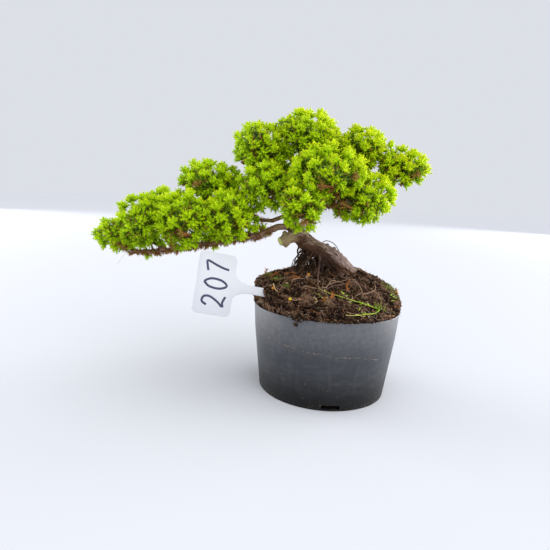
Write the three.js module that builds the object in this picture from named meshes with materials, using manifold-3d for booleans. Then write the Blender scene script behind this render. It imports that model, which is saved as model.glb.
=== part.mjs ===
// A garden juniper trained as a bonsai, in a low plastic nursery pot.
//
// Millimetres, +Z up. The origin is the centre of the pot's flat underside. +X runs to the right
// as the tree is usually looked at, so the long low branch reaches out along -X, and -Y is the front.
//
// The wood is one solid. The foliage is many leafy sprays, each with a stem, a small rugged core and shoots
// that stand out of it. A shoot carries its needles in rings of six.

import * as THREE from "three";
import { mergeVertices } from "three/addons/utils/BufferGeometryUtils.js";
import Module from "manifold-3d";

const wasm = await Module();
wasm.setup();

// Driving dimensions

const POT_RIM_RADIUS = 73.1;
const POT_KNEE = { radius: 71.3, height: 60 }; // above it the wall stands steeper
const POT_FOOT_RADIUS = 64;
const POT_HEIGHT = 85.5;
const POT_WALL = 1.6;
const POT_FLOOR = 1.8;
const POT_FOOT_CHAMFER = 1.2;
const POT_SIDES = 48;
const DRAIN_SLOT = { count: 4, firstAngle: -87, width: 17, low: 1.9, high: 5.8, cutDepth: 14 };
const DRAIN_HOLE = { count: 4, firstAngle: -36, radius: 5, pitchRadius: 38, cutDepth: 8, sides: 10 };

const CLEARANCE = 0.35; // between pieces that touch
const ROOT_CLEARANCE = 0.5; // round a root in the soil, whose flat sides run closer than its corners

const SOIL_CREST = { x: 8, y: 18, z: 121.5 };
const SOIL_TOP_RADIUS = 73.5; // just over the pot's rim
const SOIL_SHOULDERS = [
  { at: -152, spread: 20, height: 7 },
  { at: 172, spread: 22, height: 4 },
];
const SOIL_LIP = 0.6; // how far its edge leans in, down to the rim
const SOIL_RELIEF = 1.4;
const SOIL_SIDES = 34;
const SOIL_SHARES = [1, 0.91, 0.79, 0.64, 0.44, 0.18]; // its rings, from the edge in to the crest

const LABEL = {
  headWidth: 57,
  headHeight: 35,
  corner: 5,
  thickness: 0.8,
  stakeWidth: 8,
  flare: 15, // of the stake, where it meets the head
  point: 8, // the length of the stake's tapered end
  length: 104,
};
const LABEL_ENTRY = [-61, -36, 101]; // on the stake's centre line, where it meets the soil
const LABEL_SHOWN = 67; // from the head's far edge to that point
const LABEL_STAKE = [0.938, 0.295, -0.184]; // the way the stake points
const LABEL_ACROSS = [0.066, 0.369, 0.927]; // the long way of the head

const NEEDLE_LENGTH = 6;
const NEEDLE_LEAN = 50; // degrees between a needle and its shoot
const NEEDLE_SIZES = [1, 0.75, 0.5]; // a shorter needle stands where a longer one has no room
const NEEDLE_HALVES = { knee: 0.45, lowerRadius: 0.8, upperRadius: 0.45 };
const WHORL_SPACING = 3.5;
const SHOOT_RADIUS = 1.2;
const SHOOT_WHORLS = [2, 3]; // fewest and most rings of six needles
const SHOOT_TAPER = 0.3;
const SHOOT_TIP = 4.5;
const SHOOTS_PER_SPRAY = 5;
const SHOOT_APART = 50; // degrees between two shoots of a spray
const SHOOT_RISE = 0.22; // how much shoots turn up towards the light
const STEM_RADIUS = 1;
const STEM_APART = 1.5; // least distance of a stem from the middle of its twig's end
const STEM_RINGS = [0.25, 0.6, 1]; // where along a stem its rings are
const CORE_SHARE = 0.22; // of a pad's least reach
const CORE_EXTRA = 2.6;
const CORE_RELIEF = [0.82, 1]; // how far out its corners are, as shares of its radius
const SPRAY_SPREAD = 0.47; // from the pad's centre, as a share of its reach
const SPRAY_LIFT = 0.14;
const LIGHT_PULL = 0.4; // how much a spray's shoots keep to its upper side
const SITE_CHANCE = 0.25; // how far chance decides where they stand

const v3 = (x, y, z) => new THREE.Vector3(x, y, z);
const degrees = THREE.MathUtils.degToRad;
const UP = v3(0, 0, 1);
const GOLDEN_ANGLE = Math.PI * (3 - Math.sqrt(5));

// A repeatable random number from 0 to 1 for two whole numbers.
function chance(a, b) {
  const s = Math.sin(a * 12.9898 + b * 78.233) * 43758.5453;
  return s - Math.floor(s);
}

// Solids

function solidOf(geometry) {
  const bare = geometry.clone();
  bare.deleteAttribute("normal");
  bare.deleteAttribute("uv");
  const merged = mergeVertices(bare, 1e-4);
  return new wasm.Manifold(
    new wasm.Mesh({
      numProp: 3,
      vertProperties: new Float32Array(merged.attributes.position.array),
      triVerts: new Uint32Array(merged.index.array),
    }),
  );
}

function geometryOf(solid) {
  const mesh = solid.getMesh();
  const geometry = new THREE.BufferGeometry();
  geometry.setAttribute("position", new THREE.BufferAttribute(mesh.vertProperties.slice(), 3));
  geometry.setIndex(new THREE.BufferAttribute(mesh.triVerts.slice(), 1));
  const flat = geometry.toNonIndexed();
  flat.computeVertexNormals();
  return flat;
}

function solidFromFaces(points, faces) {
  const geometry = new THREE.BufferGeometry();
  const flat = faces.flat().flatMap((i) => points[i].toArray());
  geometry.setAttribute("position", new THREE.BufferAttribute(new Float32Array(flat), 3));
  return solidOf(geometry);
}

const joined = (solids) => solids.reduce((all, next) => all.add(next));

// What is left of a solid once the loose scraps of a cut are dropped.
const largestBody = (solid) =>
  solid.decompose().reduce((best, next) => (next.volume() > best.volume() ? next : best));

// A closed solid through rings of points, each ring running anticlockwise seen from the next one.
function loftSolid(rings) {
  const sides = rings[0].length;
  const faces = [];
  for (let i = 0; i + 1 < rings.length; i++) {
    for (let k = 0; k < sides; k++) {
      const a = i * sides + k;
      const b = i * sides + ((k + 1) % sides);
      faces.push([a, b, b + sides], [a, b + sides, a + sides]);
    }
  }
  const last = (rings.length - 1) * sides;
  for (let k = 1; k + 1 < sides; k++) faces.push([0, k + 1, k], [last, last + k, last + k + 1]);
  return solidFromFaces(rings.flat(), faces);
}

// Tubes along smooth curves

const curveThrough = (points) =>
  new THREE.CatmullRomCurve3(points.map((p) => v3(...p)), false, "centripetal");

// Two directions square to each tangent, which turn as little as they can along the way.
function framesAlong(tangents) {
  const start = Math.abs(tangents[0].z) < 0.9 ? UP : v3(1, 0, 0);
  let side = v3(0, 0, 0).crossVectors(tangents[0], start).normalize();
  return tangents.map((tangent) => {
    side = side.clone().addScaledVector(tangent, -side.dot(tangent)).normalize();
    return { tangent, side, over: v3(0, 0, 0).crossVectors(tangent, side) };
  });
}

function ringAround(centre, frame, radius, sides, turn = 0, shape = () => 1) {
  return Array.from({ length: sides }, (_, k) => {
    const angle = turn + (k / sides) * 2 * Math.PI;
    const reach = radius * shape(angle);
    return centre
      .clone()
      .addScaledVector(frame.side, Math.cos(angle) * reach)
      .addScaledVector(frame.over, Math.sin(angle) * reach);
  });
}

// A tube whose radius is radiusAt(t) and whose section is shape(t, angle), for a share t of its length.
function tubeSolid(curve, radiusAt, sides, steps, shape = () => 1) {
  const shares = Array.from({ length: steps + 1 }, (_, i) => i / steps);
  const frames = framesAlong(shares.map((t) => curve.getTangentAt(t)));
  return loftSolid(
    shares.map((t, i) =>
      ringAround(curve.getPointAt(t), frames[i], radiusAt(t), sides, 0, (angle) => shape(t, angle)),
    ),
  );
}

const taper = (from, to) => (t) => from + (to - from) * t;

// The wood: trunk, pruned stub, limbs, twigs and roots

const TRUNK = {
  path: [
    [20, 12, 99],
    [18, 10, 112],
    [13, 7.5, 122.5],
    [5, 5, 131],
    [-9, 3, 139.5],
    [-23, 1, 146.5],
    [-33, 0, 156],
    [-40, -1, 166],
    [-42, -1, 176],
  ],
  radii: [14, 13, 11, 9.8, 9.2, 8.4, 8, 6.8, 5],
  sides: 11,
  steps: 13,
};

const STUB = { path: [[-27, -3, 152], [-40, -10, 153], [-51, -16, 148]], radii: [6.4, 5.4] };
const KNOBS = [
  { path: [[-42, -11, 149], [-46, -15, 143]], radius: 3 },
  { path: [[-44, -9, 154], [-48, -10, 158]], radius: 2.4 },
];

// Limbs leave the fork at the head of the trunk or a larger limb. Each path is a centre line, which goes on
// from its last point into the heart of the pad at the limb's end.
const LIMBS = {
  low: {
    path: [
      [-36, 0, 163],
      [-49, -4, 163],
      [-69, -8, 154],
      [-96, -6, 147],
      [-131, -2, 139],
      [-172, 2, 130],
      [-202, 2, 129],
    ],
    radii: [3.8, 1.9],
    steps: 10,
  },
  lowUpper: {
    path: [[-38, 0, 171], [-48, 3, 172], [-64, 8, 166], [-77, 11, 169], [-90, 14, 181], [-106, 14, 190]],
    radii: [2.7, 1.9],
    steps: 8,
  },
  left: {
    path: [[-35, -1, 184], [-43, -2, 193], [-52, -2, 203], [-63, -1, 215]],
    radii: [2.8, 1.9],
    steps: 4,
  },
  top: { path: [[-40, 0, 170], [-34, -1, 190], [-29, 0, 215]], radii: [3.4, 1.9], steps: 4 },
  right: {
    path: [[-38, 0, 170], [-21, 6, 186], [-1, 10, 196], [22, 11, 206], [46, 8, 211]],
    radii: [3.2, 1.9],
    steps: 6,
  },
  lowRight: { path: [[-27, 4, 180], [-14, -6, 183], [3, -13, 186]], radii: [2.4, 1.9], steps: 4 },
  front: { path: [[-40, -2, 170], [-36, -15, 177], [-33, -31, 180]], radii: [2.6, 1.9], steps: 4 },
  back: { path: [[-37, 0, 182], [-31, 14, 190], [-20, 30, 202]], radii: [2.6, 1.9], steps: 4 },
};
const LIMB_SIDES = 5;

// Leafy pads: an egg-shaped space round a centre, which a pad's sprays fill. A pad grows at the end of its
// limb, where at is 1, or on a twig from that share of the limb's length. The turn of its sprays says, in
// degrees, which way round the pad they stand.
const PADS = [
  {
    name: "crown_top",
    carrier: { limb: "top", at: 1 },
    centre: [-30, 5, 251],
    reach: [36, 38, 27],
    sprays: { count: 3, turn: 90 },
  },
  {
    name: "crown_left",
    carrier: { limb: "left", at: 1 },
    centre: [-75, 0, 238],
    reach: [28, 32, 27],
    sprays: { count: 3, turn: 140 },
  },
  {
    name: "crown_right_top",
    carrier: { limb: "right", at: 0.55 },
    centre: [25, 10, 243],
    reach: [27, 30, 25],
    sprays: { count: 3, turn: 60 },
  },
  {
    name: "crown_right_end",
    carrier: { limb: "right", at: 1 },
    centre: [66, 3, 227],
    reach: [27, 27, 21],
    sprays: { count: 3, turn: 65 },
  },
  {
    name: "crown_front",
    carrier: { limb: "front", at: 0.6 },
    centre: [-12, -40, 216],
    reach: [38, 26, 27],
    sprays: { count: 3, turn: 30 },
  },
  {
    name: "crown_low_left",
    carrier: { limb: "left", at: 0.4 },
    centre: [-68, -18, 201],
    reach: [26, 26, 26],
    sprays: { count: 2, turn: 200 },
  },
  {
    name: "crown_drop",
    carrier: { limb: "front", at: 1 },
    centre: [-34, -50, 184],
    reach: [20, 18, 26],
    sprays: { count: 2, turn: 10 },
  },
  {
    name: "crown_low_right",
    carrier: { limb: "lowRight", at: 1 },
    centre: [22, -17, 196],
    reach: [37, 30, 27],
    sprays: { count: 3, turn: 45 },
  },
  {
    name: "crown_back",
    carrier: { limb: "back", at: 1 },
    centre: [4, 48, 226],
    reach: [42, 28, 30],
    sprays: { count: 3, turn: 90 },
  },
  {
    name: "crown_back_left",
    carrier: { limb: "back", at: 0.4 },
    centre: [-60, 42, 220],
    reach: [30, 26, 28],
    sprays: { count: 2, turn: 90 },
  },
  {
    name: "low_tip",
    carrier: { limb: "low", at: 1 },
    centre: [-214, 0, 146],
    reach: [26, 24, 18],
    sprays: { count: 2, turn: 90 },
  },
  {
    name: "low_front_left",
    carrier: { limb: "low", at: 0.72 },
    centre: [-185, -14, 162],
    reach: [27, 24, 29],
    sprays: { count: 2, turn: 270 },
  },
  {
    name: "low_front_middle",
    carrier: { limb: "low", at: 0.52 },
    centre: [-144, -26, 165],
    reach: [27, 24, 30],
    sprays: { count: 2, turn: 160 },
  },
  {
    name: "low_front_right",
    carrier: { limb: "low", at: 0.32 },
    centre: [-101, -24, 170],
    reach: [25, 24, 28],
    sprays: { count: 2, turn: 190 },
  },
  {
    name: "low_mound",
    carrier: { limb: "lowUpper", at: 1 },
    centre: [-124, 12, 204],
    reach: [34, 30, 23],
    sprays: { count: 3, turn: 25 },
  },
  {
    name: "low_back_left",
    carrier: { limb: "low", at: 0.62 },
    centre: [-168, 24, 172],
    reach: [32, 22, 27],
    sprays: { count: 2, turn: 20 },
  },
  {
    name: "low_back_right",
    carrier: { limb: "low", at: 0.42 },
    centre: [-118, 32, 170],
    reach: [28, 22, 27],
    sprays: { count: 2, turn: 160 },
  },
];
const HEART_DEPTH = 0.42; // how far a pad's heart, where its sprays meet, lies below its centre
const TWIG = { foot: 1.9, waist: 1.4, knuckle: 2, sides: 5, steps: 2 };

// Roots that show: those that hang from the leaning trunk and those that run over the soil.
const ROOTS = [
  { path: [[-10, -2, 137], [-11, -10, 127], [-12, -17, 113], [-9, -21, 101]], radii: [1.8, 1.2] },
  { path: [[-30, 0, 147], [-33, 1, 136], [-28, 3, 124], [-25, 6, 108]], radii: [1.4, 1] },
  { path: [[-22, -2, 142], [-25, -5, 130], [-26, -7, 119], [-31, -9, 104]], radii: [1.6, 1] },
  { path: [[-17, 4, 139], [-18, 8, 128], [-15, 12, 110]], radii: [2.2, 1.3] },
  { path: [[-4, 2, 133], [-7, 0, 124], [-5, -3, 108]], radii: [2.6, 1.6] },
  { path: [[-26, 2, 143], [-20, -1, 131], [-20, -3, 110]], radii: [1.2, 0.9] },
  { path: [[20, 12, 124], [33, 9, 120.5], [42, 5, 116], [50, 0, 104]], radii: [2.6, 1.2] },
  {
    path: [[25, -11, 113], [14, -20, 110.5], [2, -24, 109], [-9, -33, 103], [-14, -40, 92]],
    radii: [1.5, 1],
  },
  { path: [[18, 2, 118], [24, -10, 113.5], [33, -21, 109], [38, -28, 103], [37, -34, 93]], radii: [2.4, 1] },
  { path: [[20, 14, 116], [16, 27, 119], [8, 38, 115], [2, 46, 102]], radii: [4.5, 1.8] },
];
const ROOT_SIDES = 4;
const BARK_REACH = 1.16; // the highest of its ridges, as a share of the trunk's radius

const trunkCurve = curveThrough(TRUNK.path);
const padHeart = ({ centre: [x, y, z], reach }) => [x, y, z - HEART_DEPTH * reach[2]];
const limbCurves = Object.fromEntries(
  Object.entries(LIMBS).map(([name, { path }]) => {
    const endPad = PADS.find((pad) => pad.carrier.limb === name && pad.carrier.at === 1);
    return [name, curveThrough([...path, padHeart(endPad)])];
  }),
);

function trunkRadius(t) {
  const place = t * (TRUNK.radii.length - 1);
  const i = Math.min(Math.floor(place), TRUNK.radii.length - 2);
  return THREE.MathUtils.lerp(TRUNK.radii[i], TRUNK.radii[i + 1], place - i);
}

// Bark ridges that wind slowly round the trunk, and the lobes of its foot.
const barkShape = (t, angle) =>
  1 +
  0.07 * Math.sin(3 * angle + 5 * t) +
  0.05 * Math.sin(5 * angle - 9 * t) +
  0.04 * Math.sin(23 * t + 2 * angle);

// What carries a pad: its limb, or a slightly sagging twig from its limb to its heart.
function carrierCurve(pad) {
  if (pad.carrier.at === 1) return limbCurves[pad.carrier.limb];
  const from = limbCurves[pad.carrier.limb].getPointAt(pad.carrier.at);
  const heart = v3(...padHeart(pad));
  const middle = from.clone().lerp(heart, 0.5).addScaledVector(UP, -0.08 * from.distanceTo(heart));
  return new THREE.CatmullRomCurve3([from, middle, heart], false, "centripetal");
}

const carriers = new Map(PADS.map((pad) => [pad, carrierCurve(pad)]));
const twigPads = PADS.filter((pad) => pad.carrier.at < 1);
const twigRadius = (t) =>
  t < 0.5 ? taper(TWIG.foot, TWIG.waist)(2 * t) : taper(TWIG.waist, TWIG.knuckle)(2 * t - 1);

// A path's end moved away from its neighbour by some distance.
function movedOut(end, neighbour, distance) {
  const place = v3(...end);
  return place.add(place.clone().sub(v3(...neighbour)).setLength(distance)).toArray();
}

// The trunk and the roots, with extra all round.
function woodInSoil(extra) {
  const trunkPath = [movedOut(TRUNK.path[0], TRUNK.path[1], extra), ...TRUNK.path.slice(1)];
  const radiusAt = (t) => trunkRadius(t) + extra;
  const trunk = tubeSolid(curveThrough(trunkPath), radiusAt, TRUNK.sides, TRUNK.steps, barkShape);
  const roots = ROOTS.map(({ path, radii: [from, to] }) => {
    const curve = curveThrough([...path.slice(0, -1), movedOut(path.at(-1), path.at(-2), extra)]);
    return tubeSolid(curve, taper(from + extra, to + extra), ROOT_SIDES, path.length + 1);
  });
  return joined([trunk, ...roots]);
}

function woodSolid() {
  const tube = (curve, radii, sides, steps) => tubeSolid(curve, taper(...radii), sides, steps);
  const parts = [woodInSoil(0), tube(curveThrough(STUB.path), STUB.radii, 9, 4)];
  for (const { path, radius } of KNOBS) parts.push(tube(curveThrough(path), [radius, radius], 6, 1));
  for (const [name, { radii, steps }] of Object.entries(LIMBS)) {
    parts.push(tube(limbCurves[name], radii, LIMB_SIDES, steps));
  }
  for (const pad of twigPads) parts.push(tubeSolid(carriers.get(pad), twigRadius, TWIG.sides, TWIG.steps));
  return joined(parts);
}

// The soil: a root ball that fills the pot and rises over its cut rim to a crest behind the middle

// The height of the ball's edge, for the direction round the pot. It is low at the front, and has shoulders
// at the left, where the label is stuck in.
function soilEdge(angle) {
  const wave =
    11.5 - 2 * Math.cos(angle) + 9 * Math.sin(angle) + 4 * Math.cos(2 * angle) + 3 * Math.sin(2 * angle);
  let edge = wave;
  for (const { at, spread, height } of SOIL_SHOULDERS) {
    const turn = angle - degrees(at);
    const away = Math.atan2(Math.sin(turn), Math.cos(turn));
    edge += height * Math.exp(-((away / degrees(spread)) ** 2));
  }
  return POT_HEIGHT + Math.max(edge, 1.5);
}

const soilRelief = (x, y) =>
  SOIL_RELIEF *
  (0.45 * Math.sin(0.31 * x + 0.9 * Math.sin(0.17 * y)) * Math.cos(0.27 * y) +
    0.35 * Math.sin(0.63 * x - 0.41 * y) +
    0.3 * Math.sin(0.21 * x + 0.77 * y + 1.3) * Math.cos(0.55 * x));

// How far out the edge is from the crest in a direction, and where round the pot that is.
function soilReach(angle) {
  const { x, y } = SOIL_CREST;
  const along = x * Math.cos(angle) + y * Math.sin(angle);
  const out = Math.sqrt(along ** 2 - x ** 2 - y ** 2 + SOIL_TOP_RADIUS ** 2) - along;
  return { out, edgeAngle: Math.atan2(y + out * Math.sin(angle), x + out * Math.cos(angle)) };
}

// The top of the soil in a direction from its crest, at a share of the way out to the edge.
function soilPoint(angle, share) {
  const { out, edgeAngle } = soilReach(angle);
  const x = SOIL_CREST.x + out * share * Math.cos(angle);
  const y = SOIL_CREST.y + out * share * Math.sin(angle);
  const steepening = 2.6 + 1.4 * Math.min(Math.sin(angle), 0); // flat then steep, but even at the front
  const fall = (SOIL_CREST.z - soilEdge(edgeAngle)) * share ** steepening;
  return v3(x, y, SOIL_CREST.z - fall + soilRelief(x, y) * (1 - 0.7 * share ** 4));
}

function soilTop(x, y) {
  const angle = Math.atan2(y - SOIL_CREST.y, x - SOIL_CREST.x);
  return soilPoint(angle, Math.hypot(x - SOIL_CREST.x, y - SOIL_CREST.y) / soilReach(angle).out).z;
}

const potInnerRadius = (z) =>
  THREE.MathUtils.lerp(POT_FOOT_RADIUS, POT_RIM_RADIUS, z / POT_HEIGHT) - POT_WALL;

function soilSolid() {
  const angles = Array.from({ length: SOIL_SIDES }, (_, k) => (k / SOIL_SIDES) * 2 * Math.PI);
  const shell = (radius, z) => angles.map((angle) => soilPoint(angle, 1).setZ(0).setLength(radius).setZ(z));
  const floor = POT_FLOOR + CLEARANCE;
  const rings = [
    shell(potInnerRadius(floor) - CLEARANCE, floor),
    shell(potInnerRadius(POT_HEIGHT) - CLEARANCE, POT_HEIGHT + CLEARANCE),
    shell(SOIL_TOP_RADIUS - SOIL_LIP, POT_HEIGHT + 1.5 * CLEARANCE),
  ];
  for (const share of SOIL_SHARES) rings.push(angles.map((angle) => soilPoint(angle, share)));
  const ball = loftSolid(rings);
  return largestBody(ball.subtract(woodInSoil(ROOT_CLEARANCE)).subtract(labelSolid(CLEARANCE)));
}

// The pot

function potSolid() {
  const profile = [
    [0, 0],
    [POT_FOOT_RADIUS - POT_FOOT_CHAMFER, 0],
    [POT_FOOT_RADIUS, POT_FOOT_CHAMFER],
    [POT_KNEE.radius, POT_KNEE.height],
    [POT_RIM_RADIUS, POT_HEIGHT],
    [POT_RIM_RADIUS - POT_WALL, POT_HEIGHT],
    [potInnerRadius(POT_FLOOR), POT_FLOOR],
    [0, POT_FLOOR],
  ];
  const shell = new THREE.LatheGeometry(profile.map(([r, z]) => new THREE.Vector2(r, z)), POT_SIDES);
  shell.rotateX(Math.PI / 2);
  const cuts = [];
  for (let k = 0; k < DRAIN_SLOT.count; k++) {
    const { cutDepth, width, low, high } = DRAIN_SLOT;
    const slot = new THREE.BoxGeometry(cutDepth, width, high - low);
    slot.translate(POT_FOOT_RADIUS, 0, (high + low) / 2);
    slot.rotateZ(degrees(DRAIN_SLOT.firstAngle + (360 / DRAIN_SLOT.count) * k));
    cuts.push(solidOf(slot));
  }
  for (let k = 0; k < DRAIN_HOLE.count; k++) {
    const { radius, cutDepth, sides } = DRAIN_HOLE;
    const hole = new THREE.CylinderGeometry(radius, radius, cutDepth, sides);
    hole.rotateX(Math.PI / 2);
    hole.translate(DRAIN_HOLE.pitchRadius, 0, 0);
    hole.rotateZ(degrees(DRAIN_HOLE.firstAngle + (360 / DRAIN_HOLE.count) * k));
    cuts.push(solidOf(hole));
  }
  return solidOf(shell).subtract(joined(cuts));
}

// The plant label: a T-shaped plate whose stake goes slanting into the side of the soil

// From the label's own plane, where x runs from the head's far edge to the stake's point, to its place.
function labelPlace() {
  const stake = v3(...LABEL_STAKE).normalize();
  const facing = v3(0, 0, 0).crossVectors(stake, v3(...LABEL_ACROSS)).normalize();
  const across = v3(0, 0, 0).crossVectors(facing, stake);
  const start = v3(...LABEL_ENTRY).addScaledVector(stake, -LABEL_SHOWN);
  return new THREE.Matrix4().makeBasis(stake, across, facing).setPosition(start);
}

function labelOutline(grow) {
  const far = -grow;
  const near = LABEL.headHeight + grow;
  const half = LABEL.headWidth / 2 + grow;
  const stake = LABEL.stakeWidth / 2 + grow;
  const c = LABEL.corner;
  const shape = new THREE.Shape();
  shape.moveTo(far + c, -half);
  shape.absarc(near - c, -half + c, c, -Math.PI / 2, 0);
  shape.lineTo(near, -stake - LABEL.flare * 0.5);
  shape.quadraticCurveTo(near + 2, -stake - 1, near + LABEL.flare, -stake);
  shape.lineTo(LABEL.length - LABEL.point, -stake);
  shape.lineTo(LABEL.length + grow, 0);
  shape.lineTo(LABEL.length - LABEL.point, stake);
  shape.lineTo(near + LABEL.flare, stake);
  shape.quadraticCurveTo(near + 2, stake + 1, near, stake + LABEL.flare * 0.5);
  shape.absarc(near - c, half - c, c, 0, Math.PI / 2);
  shape.absarc(far + c, half - c, c, Math.PI / 2, Math.PI);
  shape.absarc(far + c, -half + c, c, Math.PI, 1.5 * Math.PI);
  return shape;
}

function labelSolid(grow = 0) {
  const depth = LABEL.thickness + 2 * grow;
  const outline = labelOutline(grow);
  const plate = new THREE.ExtrudeGeometry(outline, { depth, bevelEnabled: false, curveSegments: 3 });
  plate.translate(0, 0, -depth / 2);
  plate.applyMatrix4(labelPlace());
  return solidOf(plate);
}

// A weed that lies on the soil: two runners from one crown, with small leaves standing up from them

const WEED_CROWN = [44, -46];
const WEED_RUNNERS = [
  { places: [WEED_CROWN, [33, -46], [20, -43], [7, -40], [-4, -36], [-12, -30]], leaves: 5, leaf: 5 },
  { places: [WEED_CROWN, [38, -54], [29, -60], [19, -64], [10, -66]], leaves: 3, leaf: 5 },
];
const WEED_CROWN_LEAVES = { count: 4, length: 10 };
const WEED_RADII = [0.9, 0.6];
const WEED_LIFT = 1.8; // of the runners' centre lines above the soil

function weedLeaf(base, direction, length) {
  const tip = base.clone().addScaledVector(direction, length);
  return tubeSolid(new THREE.LineCurve3(base, tip), (t) => 0.5 + 0.8 * Math.sin(Math.PI * t) - 0.3 * t, 3, 2);
}

function weedSolid() {
  const parts = [];
  WEED_RUNNERS.forEach((runner, r) => {
    const curve = curveThrough(runner.places.map(([x, y]) => [x, y, soilTop(x, y) + WEED_LIFT]));
    parts.push(tubeSolid(curve, taper(...WEED_RADII), 3, 6));
    for (let k = 0; k < runner.leaves; k++) {
      const t = (k + 1.3) / (runner.leaves + 1);
      const heading = curve.getTangentAt(t);
      const side = k % 2 ? 0.6 : -0.6;
      const direction = v3(-heading.y * side, heading.x * side, 0.6 + 0.5 * chance(r, k)).normalize();
      parts.push(weedLeaf(curve.getPointAt(t), direction, runner.leaf));
    }
  });
  const crown = v3(...WEED_CROWN, soilTop(...WEED_CROWN) + WEED_LIFT);
  for (let k = 0; k < WEED_CROWN_LEAVES.count; k++) {
    const around = k * GOLDEN_ANGLE;
    const direction = v3(0.45 * Math.cos(around), 0.45 * Math.sin(around), 1).normalize();
    parts.push(weedLeaf(crown, direction, WEED_CROWN_LEAVES.length * (0.7 + 0.1 * k)));
  }
  return largestBody(joined(parts));
}

// Keeping leafy pieces clear of each other: each stem, shoot and needle is remembered as a round-ended rod.
// A rod's piece is the spray or the wood that it belongs to, and its shoot is the one that it is part of.

const rods = [];

function makeRod(a, b, radius, piece, shoot = piece) {
  return { a, b, radius, piece, shoot, middle: a.clone().lerp(b, 0.5), half: a.distanceTo(b) / 2 };
}

// The shortest distance between the centre lines of two rods.
function rodDistance(p, q) {
  const u = p.b.clone().sub(p.a);
  const w = q.b.clone().sub(q.a);
  const r = p.a.clone().sub(q.a);
  const a = u.dot(u) + 1e-12;
  const e = w.dot(w) + 1e-12;
  const b = u.dot(w);
  const c = u.dot(r);
  const f = w.dot(r);
  const clamp = (x) => THREE.MathUtils.clamp(x, 0, 1);
  const slant = a * e - b * b;
  const s = slant > 1e-9 ? clamp((b * f - c * e) / slant) : 0;
  const t = clamp((b * s + f) / e);
  const onFirst = clamp((b * t - c) / a);
  return p.a.clone().addScaledVector(u, onFirst).distanceTo(q.a.clone().addScaledVector(w, t));
}

function isClear(rod, ignores) {
  return rods.every((other) => {
    if (ignores(other)) return true;
    const apart = rod.radius + other.radius + CLEARANCE;
    if (rod.middle.distanceTo(other.middle) > rod.half + other.half + apart) return true;
    return rodDistance(rod, other) > apart;
  });
}

function rodsAlong(curve, radiusAt, steps, piece) {
  return Array.from({ length: steps }, (_, i) =>
    makeRod(curve.getPointAt(i / steps), curve.getPointAt((i + 1) / steps), radiusAt(i / steps), piece),
  );
}

function rememberWood() {
  for (const [name, limb] of Object.entries(LIMBS)) {
    rods.push(...rodsAlong(limbCurves[name], taper(...limb.radii), 2 * limb.steps, "wood"));
  }
  for (const pad of twigPads) rods.push(...rodsAlong(carriers.get(pad), () => TWIG.knuckle, 6, "wood"));
  rods.push(...rodsAlong(trunkCurve, (t) => trunkRadius(t) * BARK_REACH, TRUNK.steps, "wood"));
  rods.push(...rodsAlong(curveThrough(STUB.path), taper(...STUB.radii), 4, "wood"));
}

// Where the sprays stand in their pad

// The sprays stand in a ring round the pad's centre, alternately high and low.
function placeSpray(pad, i, seed) {
  const around = (2 * Math.PI * i) / pad.sprays.count + degrees(pad.sprays.turn);
  const lift = SPRAY_LIFT * (i % 2 ? 1 : -1);
  const centre = v3(
    pad.centre[0] + pad.reach[0] * SPRAY_SPREAD * Math.cos(around),
    pad.centre[1] + pad.reach[1] * SPRAY_SPREAD * Math.sin(around),
    pad.centre[2] + pad.reach[2] * lift,
  );
  const radius = CORE_SHARE * Math.min(...pad.reach) + CORE_EXTRA;
  return { name: "spray_" + pad.name + "_" + (i + 1), pad, seed, centre, radius };
}

// How far a pad's egg reaches from a point inside it, along a direction.
function reachInside(pad, from, direction) {
  const p = from.clone().sub(v3(...pad.centre)).divide(v3(...pad.reach));
  const d = direction.clone().divide(v3(...pad.reach));
  const a = d.dot(d);
  const b = p.dot(d);
  const c = p.dot(p) - 1;
  return c > 0 ? 0 : (-b + Math.sqrt(b * b - a * c)) / a;
}

// Where the stem of a spray starts, at the end of its twig or limb, and which way that lies from the middle
// of its core. The stem is clear of the end face or of the side, whichever is nearer.
function sprayStem(spray) {
  const carrier = carriers.get(spray.pad);
  const leave = spray.centre.clone().sub(carrier.getPointAt(1)).normalize();
  const ahead = leave.dot(carrier.getTangentAt(1));
  const aside = Math.sqrt(1 - ahead * ahead);
  const corner = 0.6 * STEM_RADIUS; // how far the stem's three-cornered foot reaches towards the twig
  const beyondFace = ahead > 0 ? (CLEARANCE + corner * aside) / ahead : Infinity;
  const beyondSide = (0.9 * TWIG.knuckle + CLEARANCE + corner * Math.abs(ahead)) / aside;
  const offset = Math.max(Math.min(beyondFace, beyondSide), STEM_APART);
  const root = carrier.getPointAt(1).addScaledVector(leave, offset);
  return { root, direction: leave.negate() };
}

// A spray as one closed surface: a rugged twenty-sided core, one face of which runs down into the stem
// and some of which run out into needled shoots.

const ICOSAHEDRON = (() => {
  const round = new THREE.IcosahedronGeometry(1, 0);
  round.deleteAttribute("normal");
  round.deleteAttribute("uv");
  const merged = mergeVertices(round, 1e-4);
  const corners = merged.attributes.position;
  const index = [...merged.index.array];
  return {
    points: Array.from({ length: corners.count }, (_, i) => v3(0, 0, 0).fromBufferAttribute(corners, i)),
    faces: Array.from({ length: index.length / 3 }, (_, f) => index.slice(3 * f, 3 * f + 3)),
  };
})();

const faceCentre = (points, face) => face.reduce((sum, i) => sum.add(points[i]), v3(0, 0, 0)).divideScalar(3);

// The core, turned so that its first face looks down the stem.
function coreSurface(spray) {
  const firstLook = faceCentre(ICOSAHEDRON.points, ICOSAHEDRON.faces[0]).normalize();
  const turn = new THREE.Quaternion().setFromUnitVectors(firstLook, spray.stem.direction);
  const points = ICOSAHEDRON.points.map((p, i) =>
    p
      .clone()
      .applyQuaternion(turn)
      .multiplyScalar(spray.radius * THREE.MathUtils.lerp(...CORE_RELIEF, chance(spray.seed, i)))
      .add(spray.centre),
  );
  return { points, faces: ICOSAHEDRON.faces.map((face) => [...face]) };
}

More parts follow.
